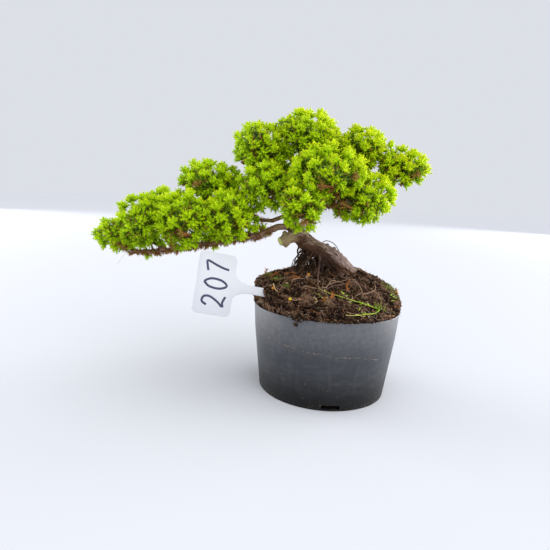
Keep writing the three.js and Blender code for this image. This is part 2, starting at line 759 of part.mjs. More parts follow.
// Grow a three-sided stalk out of a face, through rings at the given places, each turned a sixth from the
// last. addSide is told of each face between two rings. What comes back is the last ring.
function growStalk(surface, face, places, direction, radiusAt, addSide) {
  const { points, faces } = surface;
  const toCorner = points[face[0]].clone().sub(faceCentre(points, face));
  const side = toCorner.addScaledVector(direction, -toCorner.dot(direction)).normalize();
  const frame = { side, over: v3(0, 0, 0).crossVectors(direction, side) };
  faces.splice(faces.indexOf(face), 1);
  let lower = face;
  places.forEach((place, i) => {
    const ring = ringAround(place, frame, radiusAt(i), 3, (i * Math.PI) / 3);
    const upper = ring.map((p) => points.push(p) - 1);
    for (let k = 0; k < 3; k++) {
      const next = (k + 1) % 3;
      if (i === 0) {
        faces.push([lower[k], lower[next], upper[next]], [lower[k], upper[next], upper[k]]);
      } else {
        addSide([lower[k], lower[next], upper[k]], i);
        addSide([lower[next], upper[next], upper[k]], i);
      }
    }
    lower = upper;
  });
  return lower;
}

function growStem(spray) {
  const { surface, stem, stemFace } = spray;
  const foot = faceCentre(surface.points, stemFace);
  const direction = stem.root.clone().sub(foot).normalize();
  const places = STEM_RINGS.map((t) => foot.clone().lerp(stem.root, t));
  const addSide = (side) => surface.faces.push(side);
  surface.faces.push(growStalk(surface, stemFace, places, direction, () => STEM_RADIUS, addSide));
}

// A shoot of a spray, from the middle of one face of its core, turned up a little.
function planShoot(spray, face, name) {
  const base = faceCentre(spray.surface.points, face);
  const direction = base
    .clone()
    .sub(spray.centre)
    .normalize()
    .addScaledVector(UP, SHOOT_RISE)
    .normalize();
  const room = reachInside(spray.pad, base, direction) - SHOOT_TIP;
  const whorls = THREE.MathUtils.clamp(Math.floor(room / WHORL_SPACING), ...SHOOT_WHORLS);
  const end = base.clone().addScaledVector(direction, whorls * WHORL_SPACING);
  return { base, direction, whorls, end, face, name };
}

function shootRod(spray, shoot) {
  const start = shoot.base.clone().addScaledVector(shoot.direction, SHOOT_RADIUS);
  const tip = shoot.end.clone().addScaledVector(shoot.direction, SHOOT_TIP);
  return makeRod(start, tip, SHOOT_RADIUS + 0.4, spray.name, shoot.name);
}

// Raise a side face of a shoot into a needle, a shorter one where there is little room, or leave it flat.
function raiseNeedle(spray, shoot, place, side) {
  const { points, faces } = spray.surface;
  const middle = faceCentre(points, side);
  const outward = middle.clone().sub(place);
  outward.addScaledVector(shoot.direction, -outward.dot(shoot.direction)).normalize();
  const lean = degrees(NEEDLE_LEAN);
  const heading = outward.multiplyScalar(Math.sin(lean)).addScaledVector(shoot.direction, Math.cos(lean));
  for (const size of NEEDLE_SIZES) {
    const tip = middle.clone().addScaledVector(heading, size * NEEDLE_LENGTH);
    const knee = middle.clone().lerp(tip, NEEDLE_HALVES.knee);
    const halves = [
      makeRod(middle, knee, NEEDLE_HALVES.lowerRadius, spray.name, shoot.name),
      makeRod(knee, tip, NEEDLE_HALVES.upperRadius, spray.name, shoot.name),
    ];
    const own = (other) => other.shoot === shoot.name || other.shoot === spray.name;
    if (halves.every((rod) => isClear(rod, own))) {
      rods.push(...halves);
      const top = points.push(tip) - 1;
      faces.push([side[0], side[1], top], [side[1], side[2], top], [side[2], side[0], top]);
      return;
    }
  }
  faces.push(side);
}

function growShoot(spray, shoot) {
  const { points, faces } = spray.surface;
  const places = Array.from({ length: shoot.whorls + 1 }, (_, i) =>
    shoot.base.clone().addScaledVector(shoot.direction, 0.25 + i * WHORL_SPACING),
  );
  const slim = (i) => SHOOT_RADIUS * (1 - (SHOOT_TAPER * i) / shoot.whorls);
  const raise = (side, i) => raiseNeedle(spray, shoot, places[i], side);
  const end = growStalk(spray.surface, shoot.face, places, shoot.direction, slim, raise);
  const tip = points.push(shoot.end.clone().addScaledVector(shoot.direction, SHOOT_TIP)) - 1;
  for (let k = 0; k < 3; k++) faces.push([end[k], end[(k + 1) % 3], tip]);
}

// The faces of a core that can carry shoots, those that look out of the pad and up first.
function shootSites(spray) {
  const outward = spray.centre
    .clone()
    .sub(v3(...spray.pad.centre))
    .divideScalar(Math.min(...spray.pad.reach));
  return spray.surface.faces
    .map((face, f) => {
      const look = faceCentre(spray.surface.points, face).sub(spray.centre).normalize();
      const luck = SITE_CHANCE * chance(spray.seed, 40 + f);
      return { face, look, outlook: look.dot(outward) + LIGHT_PULL * look.z + luck };
    })
    .filter(({ look }) => look.dot(spray.stem.direction) < 0.5)
    .sort((p, q) => q.outlook - p.outlook);
}

// Give a spray one more shoot, on the best face that has room.
function addShoot(spray, name) {
  while (spray.sites.length) {
    const { face, look } = spray.sites.shift();
    if (spray.shoots.some((other) => other.look.dot(look) > Math.cos(degrees(SHOOT_APART)))) continue;
    const shoot = planShoot(spray, face, name);
    const rod = shootRod(spray, shoot);
    if (!isClear(rod, (other) => other.shoot === spray.name)) continue;
    rods.push(rod);
    spray.shoots.push({ ...shoot, look });
    return;
  }
}

// All the sprays. Cores and stems are placed first and then the shoots in turns, so that none takes too much.
function growSprays() {
  rememberWood();
  const sprays = PADS.flatMap((pad, p) =>
    Array.from({ length: pad.sprays.count }, (_, i) => {
      const spray = placeSpray(pad, i, 10 * p + i + 1);
      return { ...spray, stem: sprayStem(spray), shoots: [] };
    }),
  );
  for (const spray of sprays) {
    spray.surface = coreSurface(spray);
    spray.stemFace = spray.surface.faces[0];
    spray.sites = shootSites(spray);
    const nearCentre = spray.centre.clone().addScaledVector(UP, 0.01);
    const stemEnd = spray.stem.root.clone().addScaledVector(spray.stem.direction, -STEM_RADIUS);
    rods.push(makeRod(spray.centre, nearCentre, spray.radius, spray.name));
    rods.push(makeRod(spray.centre, stemEnd, STEM_RADIUS, spray.name));
  }
  for (let turn = 0; turn < SHOOTS_PER_SPRAY; turn++) {
    for (const spray of sprays) addShoot(spray, spray.name + "_shoot_" + turn);
  }
  for (const spray of sprays) {
    growStem(spray);
    for (const shoot of spray.shoots) growShoot(spray, shoot);
  }
  return sprays;
}

// The finished pieces

const tree = new THREE.Group();

function addPiece(name, solid, material) {
  const mesh = new THREE.Mesh(geometryOf(solid), material);
  mesh.name = name;
  tree.add(mesh);
}

const plastic = new THREE.MeshStandardMaterial({ color: "#34373c", roughness: 0.5, metalness: 0 });
const earth = new THREE.MeshStandardMaterial({ color: "#35231a", roughness: 0.95, metalness: 0 });
const bark = new THREE.MeshStandardMaterial({ color: "#6b5240", roughness: 0.85, metalness: 0 });
const leafGreen = new THREE.MeshStandardMaterial({ color: "#79b21c", roughness: 0.55, metalness: 0 });
const whitePlastic = new THREE.MeshStandardMaterial({ color: "#e4e6ec", roughness: 0.45, metalness: 0 });
const weedGreen = new THREE.MeshStandardMaterial({ color: "#9cc23a", roughness: 0.6, metalness: 0 });

addPiece("pot", potSolid(), plastic);
addPiece("soil", soilSolid(), earth);
addPiece("wood", woodSolid(), bark);
addPiece("label", labelSolid(), whitePlastic);
addPiece("weed", weedSolid(), weedGreen);
for (const { name, surface } of growSprays()) {
  addPiece(name, solidFromFaces(surface.points, surface.faces), leafGreen);
}

export default tree;
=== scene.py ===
# A garden juniper trained as a bonsai, in a low plastic nursery pot.
#
# Sizes in the tables are millimetres in the tree's own frame: +Z up, the origin at the centre of the pot's
# flat underside, -X towards the tip of the long low branch, -Y the front.

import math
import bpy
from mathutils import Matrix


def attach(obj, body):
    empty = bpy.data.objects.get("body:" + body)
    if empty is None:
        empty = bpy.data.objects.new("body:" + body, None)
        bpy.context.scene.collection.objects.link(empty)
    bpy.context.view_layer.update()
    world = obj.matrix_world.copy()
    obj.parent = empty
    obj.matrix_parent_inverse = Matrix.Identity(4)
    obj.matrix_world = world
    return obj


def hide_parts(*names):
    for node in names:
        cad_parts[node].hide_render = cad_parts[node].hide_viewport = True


bl_info = {
    "name": "Garden Juniper Bonsai",
    "version": (1, 0, 0),
    "blender": (4, 5, 0),
    "location": "View3D > Sidebar > Bonsai",
    "description": "Grows a small juniper with its pot, soil, label and weed around a packed model",
    "category": "Add Mesh",
}

import bpy
import numpy as np
from mathutils import Matrix, Quaternion, Vector
from mathutils.bvhtree import BVHTree

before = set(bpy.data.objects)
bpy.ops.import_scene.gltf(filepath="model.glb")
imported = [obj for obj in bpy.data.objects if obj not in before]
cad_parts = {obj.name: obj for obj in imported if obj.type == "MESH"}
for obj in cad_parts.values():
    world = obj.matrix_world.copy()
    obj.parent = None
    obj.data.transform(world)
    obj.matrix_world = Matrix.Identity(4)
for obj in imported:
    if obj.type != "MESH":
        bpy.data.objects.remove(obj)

MM = 0.001
UV_NAME = "OFBake"
UP = np.array([0.0, 0.0, 1.0])
GOLDEN_ANGLE = math.pi * (3 - math.sqrt(5))

# The tree's plan, as its solids have it

TRUNK = {
    "path": [
        (20, 12, 99),
        (18, 10, 112),
        (13, 7.5, 122.5),
        (5, 5, 131),
        (-9, 3, 139.5),
        (-23, 1, 146.5),
        (-33, 0, 156),
        (-40, -1, 166),
        (-42, -1, 176),
    ],
    "radii": (14, 13, 11, 9.8, 9.2, 8.4, 8, 6.8, 5),
}
STUB = {"path": [(-27, -3, 152), (-40, -10, 153), (-51, -16, 148)], "radii": (6.4, 5.4)}
LIMBS = {
    "low": {
        "path": [
            (-36, 0, 163),
            (-49, -4, 163),
            (-69, -8, 154),
            (-96, -6, 147),
            (-131, -2, 139),
            (-172, 2, 130),
            (-202, 2, 129),
        ],
        "radii": (3.8, 1.9),
    },
    "lowUpper": {
        "path": [
            (-38, 0, 171),
            (-48, 3, 172),
            (-64, 8, 166),
            (-77, 11, 169),
            (-90, 14, 181),
            (-106, 14, 190),
        ],
        "radii": (2.7, 1.9),
    },
    "left": {"path": [(-35, -1, 184), (-43, -2, 193), (-52, -2, 203), (-63, -1, 215)], "radii": (2.8, 1.9)},
    "top": {"path": [(-40, 0, 170), (-34, -1, 190), (-29, 0, 215)], "radii": (3.4, 1.9)},
    "right": {
        "path": [(-38, 0, 170), (-21, 6, 186), (-1, 10, 196), (22, 11, 206), (46, 8, 211)],
        "radii": (3.2, 1.9),
    },
    "lowRight": {"path": [(-27, 4, 180), (-14, -6, 183), (3, -13, 186)], "radii": (2.4, 1.9)},
    "front": {"path": [(-40, -2, 170), (-36, -15, 177), (-33, -31, 180)], "radii": (2.6, 1.9)},
    "back": {"path": [(-37, 0, 182), (-31, 14, 190), (-20, 30, 202)], "radii": (2.6, 1.9)},
}

# Leafy pads: name, centre, reach, the limb that carries it and where along it, its sprays, and their turn
PADS = [
    ("crown_top", (-30, 5, 251), (36, 38, 27), "top", 1, 3, 90),
    ("crown_left", (-75, 0, 238), (28, 32, 27), "left", 1, 3, 140),
    ("crown_right_top", (25, 10, 243), (27, 30, 25), "right", 0.55, 3, 60),
    ("crown_right_end", (66, 3, 227), (27, 27, 21), "right", 1, 3, 65),
    ("crown_front", (-12, -40, 216), (38, 26, 27), "front", 0.6, 3, 30),
    ("crown_low_left", (-68, -18, 201), (26, 26, 26), "left", 0.4, 2, 200),
    ("crown_drop", (-34, -50, 184), (20, 18, 26), "front", 1, 2, 10),
    ("crown_low_right", (22, -17, 196), (37, 30, 27), "lowRight", 1, 3, 45),
    ("crown_back", (4, 48, 226), (42, 28, 30), "back", 1, 3, 90),
    ("crown_back_left", (-60, 42, 220), (30, 26, 28), "back", 0.4, 2, 90),
    ("low_tip", (-214, 0, 146), (26, 24, 18), "low", 1, 2, 90),
    ("low_front_left", (-185, -14, 162), (27, 24, 29), "low", 0.72, 2, 270),
    ("low_front_middle", (-144, -26, 165), (27, 24, 30), "low", 0.52, 2, 160),
    ("low_front_right", (-101, -24, 170), (25, 24, 28), "low", 0.32, 2, 190),
    ("low_mound", (-124, 12, 204), (34, 30, 23), "lowUpper", 1, 3, 25),
    ("low_back_left", (-168, 24, 172), (32, 22, 27), "low", 0.62, 2, 20),
    ("low_back_right", (-118, 32, 170), (28, 22, 27), "low", 0.42, 2, 160),
]
# Short plumes that stand straight on a limb: the shares of its length between which they do, their spacing,
# and how many dry needles cling to the bark there
SPRIGS = {
    "low": (0.15, 0.97, 2.3, 1500),
    "lowUpper": (0.3, 0.9, 7, 350),
    "left": (0.35, 0.9, 7, 200),
    "right": (0.3, 0.9, 8, 250),
    "lowRight": (0.3, 0.9, 8, 250),
    "front": (0.3, 0.9, 7, 250),
    "back": (0.4, 0.9, 9, 150),
}
# A slim plume that stands out by itself: the spray it belongs to, its foot and its tip
LONE_PLUME = ("crown_right_end", (53, 4, 236), (51.6, 5, 251))
# Shaded gaps between the pads, where the plumes have died back: place and reach
DIED_BACK = (((-9, -38, 190), 12), ((-57, -28, 208), 8))
# How much slimmer the stub dries towards its cut end, and over what length
STUB_SLIM = 1.1
STUB_SLIM_REACH = 12
# Knobs on the wood, where twigs were cut or roots start: place, radius and height
KNOBS = (
    ((-48.5, -13, 157.5), 2.0, 2.6),
    ((-43.5, -14, 147), 2.0, 2.0),
    ((-2.6, 2, 147), 2.0, 2.6),
    ((4.6, 3, 143), 2.2, 2.8),
    ((9.3, 3, 141), 1.8, 2.4),
    ((-33, -6, 160), 3.0, 1.6),
    ((14, -3, 126), 3.0, 1.2),
)
# The fringe of fine roots under the leaning trunk: how many, and between which places along it, as shares
FRINGE = {"count": 200, "first": 0.33, "last": 0.66}
# Roots that show by themselves in the air: their points, radii and tone
AIR_ROOTS = (
    (((-13, 1, 141), (-8, 0, 148.5), (-4, 0, 150.4), (2, 0, 148.8), (6, 0, 145.2), (9, 1, 141)), 0.5, 0.3),
    (((-27, -2, 146), (-31, -4, 138), (-33, -6, 128), (-40, -10, 117), (-46, -16, 112)), 0.5, 0.24),
    (((-18, -8, 139), (-24, -12, 128), (-33, -17, 118), (-44, -20, 111)), 0.5, 0.26),
)
# Pale dry strands that hang from the foliage
STRANDS = (
    ((37, -24, 194), (39.4, -30, 188.3), (39.3, -30, 181.4), (35.8, -30, 177.4), (33.6, -30, 175.6)),
    ((39.8, -30, 185), (38.5, -30, 180), (41.2, -30, 178.4)),
    ((-198, -4, 134), (-203.5, -5, 128.1), (-209, -5, 121), (-212.6, -5, 115.2)),
)
# Roots that lie on the soil: where each goes, its radius and tone
GROUND_ROOTS = (
    (((-11, -10), (-12, -17), (-11.5, -29), (-10, -36), (-3, -41)), 0.6, 0.36),
    (((-38, -26), (-29, -19), (-24, -18), (-16, -12)), 0.7, 0.38),
    (((-27, -33), (-17, -30), (-11, -30), (-8, -34)), 0.75, 0.36),
    (((29, -33), (40, -25), (46, -13), (44, -3)), 0.6, 0.38),
    (((24, -14), (29, -20), (29.5, -30), (22, -34)), 0.8, 0.38),
    (((-4, -24), (6, -17), (16, -13), (24, -14)), 0.9, 0.36),
    (((-20, 10), (-34, 14), (-46, 22), (-55, 34)), 0.8, 0.38),
    (((28, 24), (40, 30), (50, 42), (52, 54)), 0.9, 0.38),
    (((0, 30), (-8, 42), (-20, 50), (-28, 60)), 0.8, 0.38),
)
# The share of dead plumes on a limb, among those above it and below it, and right under a pad
DEAD_SHARES = (0.12, 0.75)
UNDERSIDE_DEAD = 0.15
# Tones below this are brown, and the ranges that the tones of brown and of green needles are held in
DEAD_TONE = 0.21
DEAD_RANGE = (0.12, 0.2)
GREEN_RANGE = (0.24, 0.995)
# The tones of a dead plume at foot and tip, and how many of its shoots are left on a spray and on a limb
DEAD_TONES = (0.12, 0.18)
DEAD_AXES = 6
DEAD_SPRIG_AXES = 2
# How much lighter the plumes are painted at the crown's top right, as painted light
SUNNY = 0.6
# A plume's number of side shoots: so many, and so many more for each millimetre of its leader
SHOOTS = (9.5, 0.2)
# How far from its leader's tip a side shoot starts at most
SHOOT_REACH = 6.8
# How thick a plume's head is, as a share of its width
HEAD_FLATNESS = 0.8
# The angle between a needle and its shoot in degrees, and how much less it is at the shoot's tip
NEEDLE_LEAN = (54, 16)
# The radii of a leader with the feet of its needles: at its foot, at the lowest needle, higher, and at
# its tip
LEADER_RADII = (0.6, 0.9, 1.4, 1.0)
# The radius of a side shoot with the feet of its needles, where it is thickest
SHOOT_RADIUS = 1.45
# How far a spray's middle lies from its pad's, sideways and up or down, as shares of the pad's reach
SPRAY_SPREAD = 0.47
SPRAY_LIFT = 0.14
# How far below its pad's middle a limb ends, as a share of the pad's reach
HEART_DEPTH = 0.42
# How far from its pad's middle a plume may start, as a share of the pad's reach
ROOT_REACH = 0.75
# No plume ends nearer than this to the middle of another pad, as a share of that pad's reach
CROWDED = 0.72
# The length of a spray's shortest plume
PLUME_MIN = 13
# The steepest way down in which a plume sets off, before the light turns it up
DROOP = -0.55
# The dark heart of a spray, old needles and twigs painted dark as the shade inside: its radii as a share of
# the pad's reach, and how many old needles stand on it
CORE_SHARE = 0.42
CORE_NEEDLES = 140
# The same for the middle of a whole pad, which closes it to the light
HUB_SHARE = 0.38
HUB_NEEDLES = 60
# The tone that marks a heart, and how many old needles stand on the twig that bears a plume
HEART_TONE = 0.22
TWIG_NEEDLES = 11

# Zones of the bark, the middle of each and its reach: the foot, pinkish and painted lighter as lit on its
# right; the stub, tan; the collar, dark with loose bark and painted shade under the foliage; and the
# underside of the leaning trunk, painted dark as shade
PINK_FOOT_AND_LIGHT_ZONE = ((13, -2, 132), 30)
STUB_ZONE = ((-47, -13, 151), 17)
COLLAR_SHAG_AND_SHADE_ZONE = ((-42, 0, 175), 20)
TRUNK_UNDERSIDE_SHADE_ZONE = ((-12, 4, 124), 28)

# The stub's cut face: how far back from its end it reaches, and its radius
CUT_FACE = {"depth": 0.7, "radius": 4.2}
# Wood thinner than this radius begins to be coloured as a limb, wholly so when it's thinner by the second
LIMB_RADIUS = 5.4
LIMB_BLEND = 2.2
# How far apart the limbs lie in the pattern of the bark, so that no two are alike
LIMB_STEP = 331
# Wood that stands off the limbs by this much, and below this height, counts as root
ROOT_OFF = 2.2
ROOTS_BELOW = 150
# How many fine roots lie loose on the soil, and how thick the pale strands are
LOOSE_ROOTS = 60
STRAND_RADIUS = 0.16

RIM_HEIGHT = 85.5
# How much of the soil's mesh goes where the pot hides it, and the height under which it is plain dark
HIDDEN_CUT = 0.93
DARK_BELOW = 30
# Painted shadow on the soil: where it is darkest, under the leaning trunk
SOIL_SHADOW_UNDER_TRUNK = ((0, 8, 117), 24)
# Peat heaped against the trunk's foot: the middle of each heap, how far it reaches and how high
FOOT_HEAPS = (((22, -3), 13, 3.6), ((34, 3), 7, 3.6))
# The kinds of litter: the tone of each on its own scale, and its colour
LITTER = {
    "wet peat": (0.0, (0.008, 0.005, 0.004)),
    "peat": (0.16, (0.045, 0.024, 0.013)),
    "dry peat": (0.3, (0.14, 0.075, 0.04)),
    "root fibre": (0.42, (0.44, 0.28, 0.19)),
    "dead sprig": (0.5, (0.46, 0.16, 0.045)),
    "pellet": (0.6, (0.75, 0.3, 0.04)),
    "yellow chip": (0.68, (0.75, 0.55, 0.05)),
    "straw": (0.76, (0.6, 0.42, 0.22)),
    "dust": (0.8, (0.2, 0.19, 0.165)),
    "pale chip": (0.84, (0.7, 0.62, 0.48)),
    "moss": (0.91, (0.2, 0.26, 0.02)),
    "pale moss": (1.0, (0.42, 0.46, 0.2)),
}
FIBRE_TONES = (0.0, 0.05, 0.12, 0.2, 0.3, 0.4, 0.42, 0.42, 0.45, 0.5, 0.76, 0.84)
# The plant label in its own plane, where x runs from the head's far edge to the stake's point
LABEL = {
    "entry": (-61, -36, 101),
    "shown": 67,
    "stake": (0.938, 0.295, -0.184),
    "across": (0.066, 0.369, 0.927),
    "thickness": 0.8,
    "middle": 18,
}
NUMBER = {"text": "207", "pitch": 15.5, "height": 21, "width": 10.5, "stroke": 1.05}
# The pen's way for each figure, in a square one unit wide and high
FIGURES = {
    "2": (
        (0.05, 0.78),
        (0.3, 0.98),
        (0.72, 0.93),
        (0.8, 0.68),
        (0.45, 0.33),
        (0.02, 0.06),
        (0.4, 0.1),
        (0.95, 0.0),
    ),
    "0": (
        (0.55, 1.0),
        (0.18, 0.78),
        (0.1, 0.32),
        (0.42, 0.0),
        (0.82, 0.25),
        (0.88, 0.7),
        (0.55, 0.99),
        (0.4, 0.93),
    ),
    "7": ((0.05, 0.9), (0.45, 0.96), (0.9, 0.98), (0.66, 0.6), (0.48, 0.3), (0.38, 0.0)),
}
# x, y, the way it points in degrees, length, thickness and kind
STICKS = (
    (-55, -30, -70, 15, 0.7, "straw"),
    (-17, -43, -60, 12, 0.9, "straw"),
    (28, -62, 172, 18, 0.5, "straw"),
    (-30, -50, 160, 12, 0.6, "root fibre"),
    (-8, -29, 35, 24, 0.8, "root fibre"),
    (5, -58, 20, 14, 0.6, "dry peat"),
    (20, -35, -100, 16, 0.7, "root fibre"),
    (40, -20, -40, 16, 0.6, "root fibre"),
    (-45, 30, 50, 18, 0.7, "straw"),
    (30, 50, 160, 20, 0.7, "root fibre"),
    (-10, 60, 10, 16, 0.6, "straw"),
)
# x, y, the way it points, its length and how high its tip stands
DEAD_SPRIGS = (
    (-58, -6, 20, 12, 1),
    (-44, -8, -20, 10, 1),
    (16, -27, 60, 9, 4),
    (-30, -20, 200, 9, 0),
    (69, -8, 110, 8, 3),
    (-2, -45, 30, 8, 2),
    (-6, -43, -50, 7, 0),
    (-62, 6, 100, 9, 3),
    (-20, 40, 10, 12, 0),
    (30, 30, 80, 10, 0),
)
# x, y, radius and kind
MOSS = (
    (-52, -18, 6, "moss"),
    (-43, -33, 4, "moss"),
    (-60, 2, 5, "moss"),
    (62, 0, 7, "moss"),
    (66, -14, 4, "pale moss"),
    (68, 12, 5, "pale moss"),
    (-62, 10, 5, "pale moss"),
    (8, -40, 2.5, "moss"),
    (20, 55, 6, "moss"),
)
PELLETS = (
    (-21.5, -12, 1.7, "pellet"),
    (-39.3, -49.5, 1.6, "yellow chip"),
    (-55, -38, 1.2, "pellet"),
    (25, 40, 1.6, "pellet"),
    (-30, 48, 1.4, "yellow chip"),
)
# The four slots at the pot's foot and the four holes in its floor: the angle of the first, and sizes
SLOT = {"angle": -87, "out": 64, "width": 17, "low": 1.9, "high": 5.8, "depth": 14}
HOLE = {"angle": -36, "out": 38, "radius": 5, "depth": 8}
# How thick the pot's floor is, and how much wider its inside is at the floor than the wall alone gives
POT_FLOOR = 1.8
FOOT_SPARE = 0.25
# How far the pot's edges are rounded
POT_BEVEL = 0.7
# The old tide mark on the pot: angles round it in degrees, and heights
TIDE_MARK = (
    (-142, 59.8),
    (-124, 58.1),
    (-107, 55.9),
    (-97, 55.7),
    (-86, 52.8),
    (-81, 53.9),
    (-70, 53.5),
    (-50, 48.1),
)
# One pale chip stuck to the front of the pot: its angle and height, and half its own height
CHIP = {"angle": -108.4, "height": 25, "tall": 0.9}
# Specks of dirt on the pot, most of them near its foot: how many, and their tones as litter
SPECKS = {"count": 260, "low_share": 0.75, "tones": (0.3, 0.7, 0.76, 0.84)}
# A scratch on the pot, from an angle and height to another
SCRATCH = ((-88, 80), (-101, 54))
# Crumbs stuck to the rim: where round the pot in degrees, how many, over what spread, and how far down
RIM_DIRT = ((-116.5, 30, 1.7, 8), (-90, 60, 24, 1.2), (90, 60, 60, 1.2))
WEED_RUNNERS = (
    ((44, -46), (33, -46), (20, -43), (7, -40), (-4, -36), (-12, -30)),
    ((44, -46), (38, -54), (29, -60), (19, -64), (10, -66)),
)
# Tufts of leaves beside the runners: x, y, how many leaves, how long, and their tone
WEED_TUFTS = (
    (-0.4, -34.8, 7, 3.2, 0.8),
    (11.7, -37.2, 3, 5.5, 0.95),
    (16, -47.3, 5, 3.0, 0.8),
    (26.2, -46.8, 6, 3.4, 0.85),
    (29, -57.9, 6, 3.2, 0.7),
    (22.3, -54.5, 4, 3.0, 0.5),
    (-7.6, -44.2, 8, 3.0, 0.32),
    (-4.6, -50, 6, 3.0, 0.25),
    (-12, -38, 5, 2.8, 0.55),
    (63, -16, 8, 3.4, 0.75),
    (68, -6, 7, 3.2, 0.6),
    (60, -24, 5, 3.0, 0.7),
)


# The camera, worked out from the picture, in metres: its lens in millimetres, its place and its own axes
CAMERA = {
    "lens": 28.15,
    "place": (-0.0539, -0.4317, 0.1826),
    "right": (0.99834, 0.00920, 0.05682),
    "up": (-0.05756, 0.15962, 0.98550),
    "back": (0, -0.98714, 0.15988),
}
# The soft lights in metres: name, place, width and height, and power in watts
LIGHTS = (
    ("window", (5.2, 2.4, 0.65), (5.0, 1.2), 420),
    ("front", (0.9, -1.2, 0.9), (1.2, 1.2), 5),
    ("lamp", (-3.8, 1.6, 0.6), (3.2, 1.1), 170),
)
SKY_PLACE = (0.35, -0.35, 1.0)
# Where the lights are turned to
TREE_MIDDLE = (-0.03, 0, 0.15)


# Small sums on arrays of points


def unit(v):
    v = np.asarray(v, float)
    return v / np.linalg.norm(v, axis=-1, keepdims=True)


def smooth_path(points, count):
    """That many points, evenly spaced, on a smooth curve through the given ones."""
    p = np.asarray(points, float)
    p = np.vstack([2 * p[0] - p[1], p, 2 * p[-1] - p[-2]])
    fine = []
    for a, b, c, d in zip(p, p[1:], p[2:], p[3:]):
        t = np.linspace(0, 1, 24, endpoint=False)[:, None]
        square = (2 * a - 5 * b + 4 * c - d) * t**2
        cube = (3 * b - a - 3 * c + d) * t**3
        fine.append(0.5 * (2 * b + (c - a) * t + square + cube))
    fine = np.vstack(fine + [p[-2:-1]])
    run = np.r_[0, np.cumsum(np.linalg.norm(np.diff(fine, axis=0), axis=1))]
    at = np.linspace(0, run[-1], count)
    return np.column_stack([np.interp(at, run, fine[:, k]) for k in range(3)])


def across(directions):
    """Two unit vectors square to each direction and to each other."""
    helper = np.where(np.abs(directions[..., 2:3]) < 0.9, UP, np.array([1.0, 0.0, 0.0]))
    side = unit(np.cross(directions, helper))
    return side, np.cross(directions, side)


def level_way(degrees):
    """The level unit vector at an angle round the upright axis."""
    turn = math.radians(degrees)
    return np.array([math.cos(turn), math.sin(turn), 0.0])


def pointing(ways, width, length):
    """Matrices that turn a shape to point the given ways and give it that width and length."""
    side, over = across(ways)
    return np.stack([side * width, over * width, ways * length], -1)


def frames_along(path):
    """The tangent and two square directions at each point of a path, turning as little as they can."""
    tangent = unit(np.gradient(path, axis=0))
    side = np.empty_like(tangent)
    side[0] = across(tangent[:1])[0][0]
    for i in range(1, len(path)):
        side[i] = unit(side[i - 1] - tangent[i] * np.dot(side[i - 1], tangent[i]))
    return tangent, side, np.cross(tangent, side)


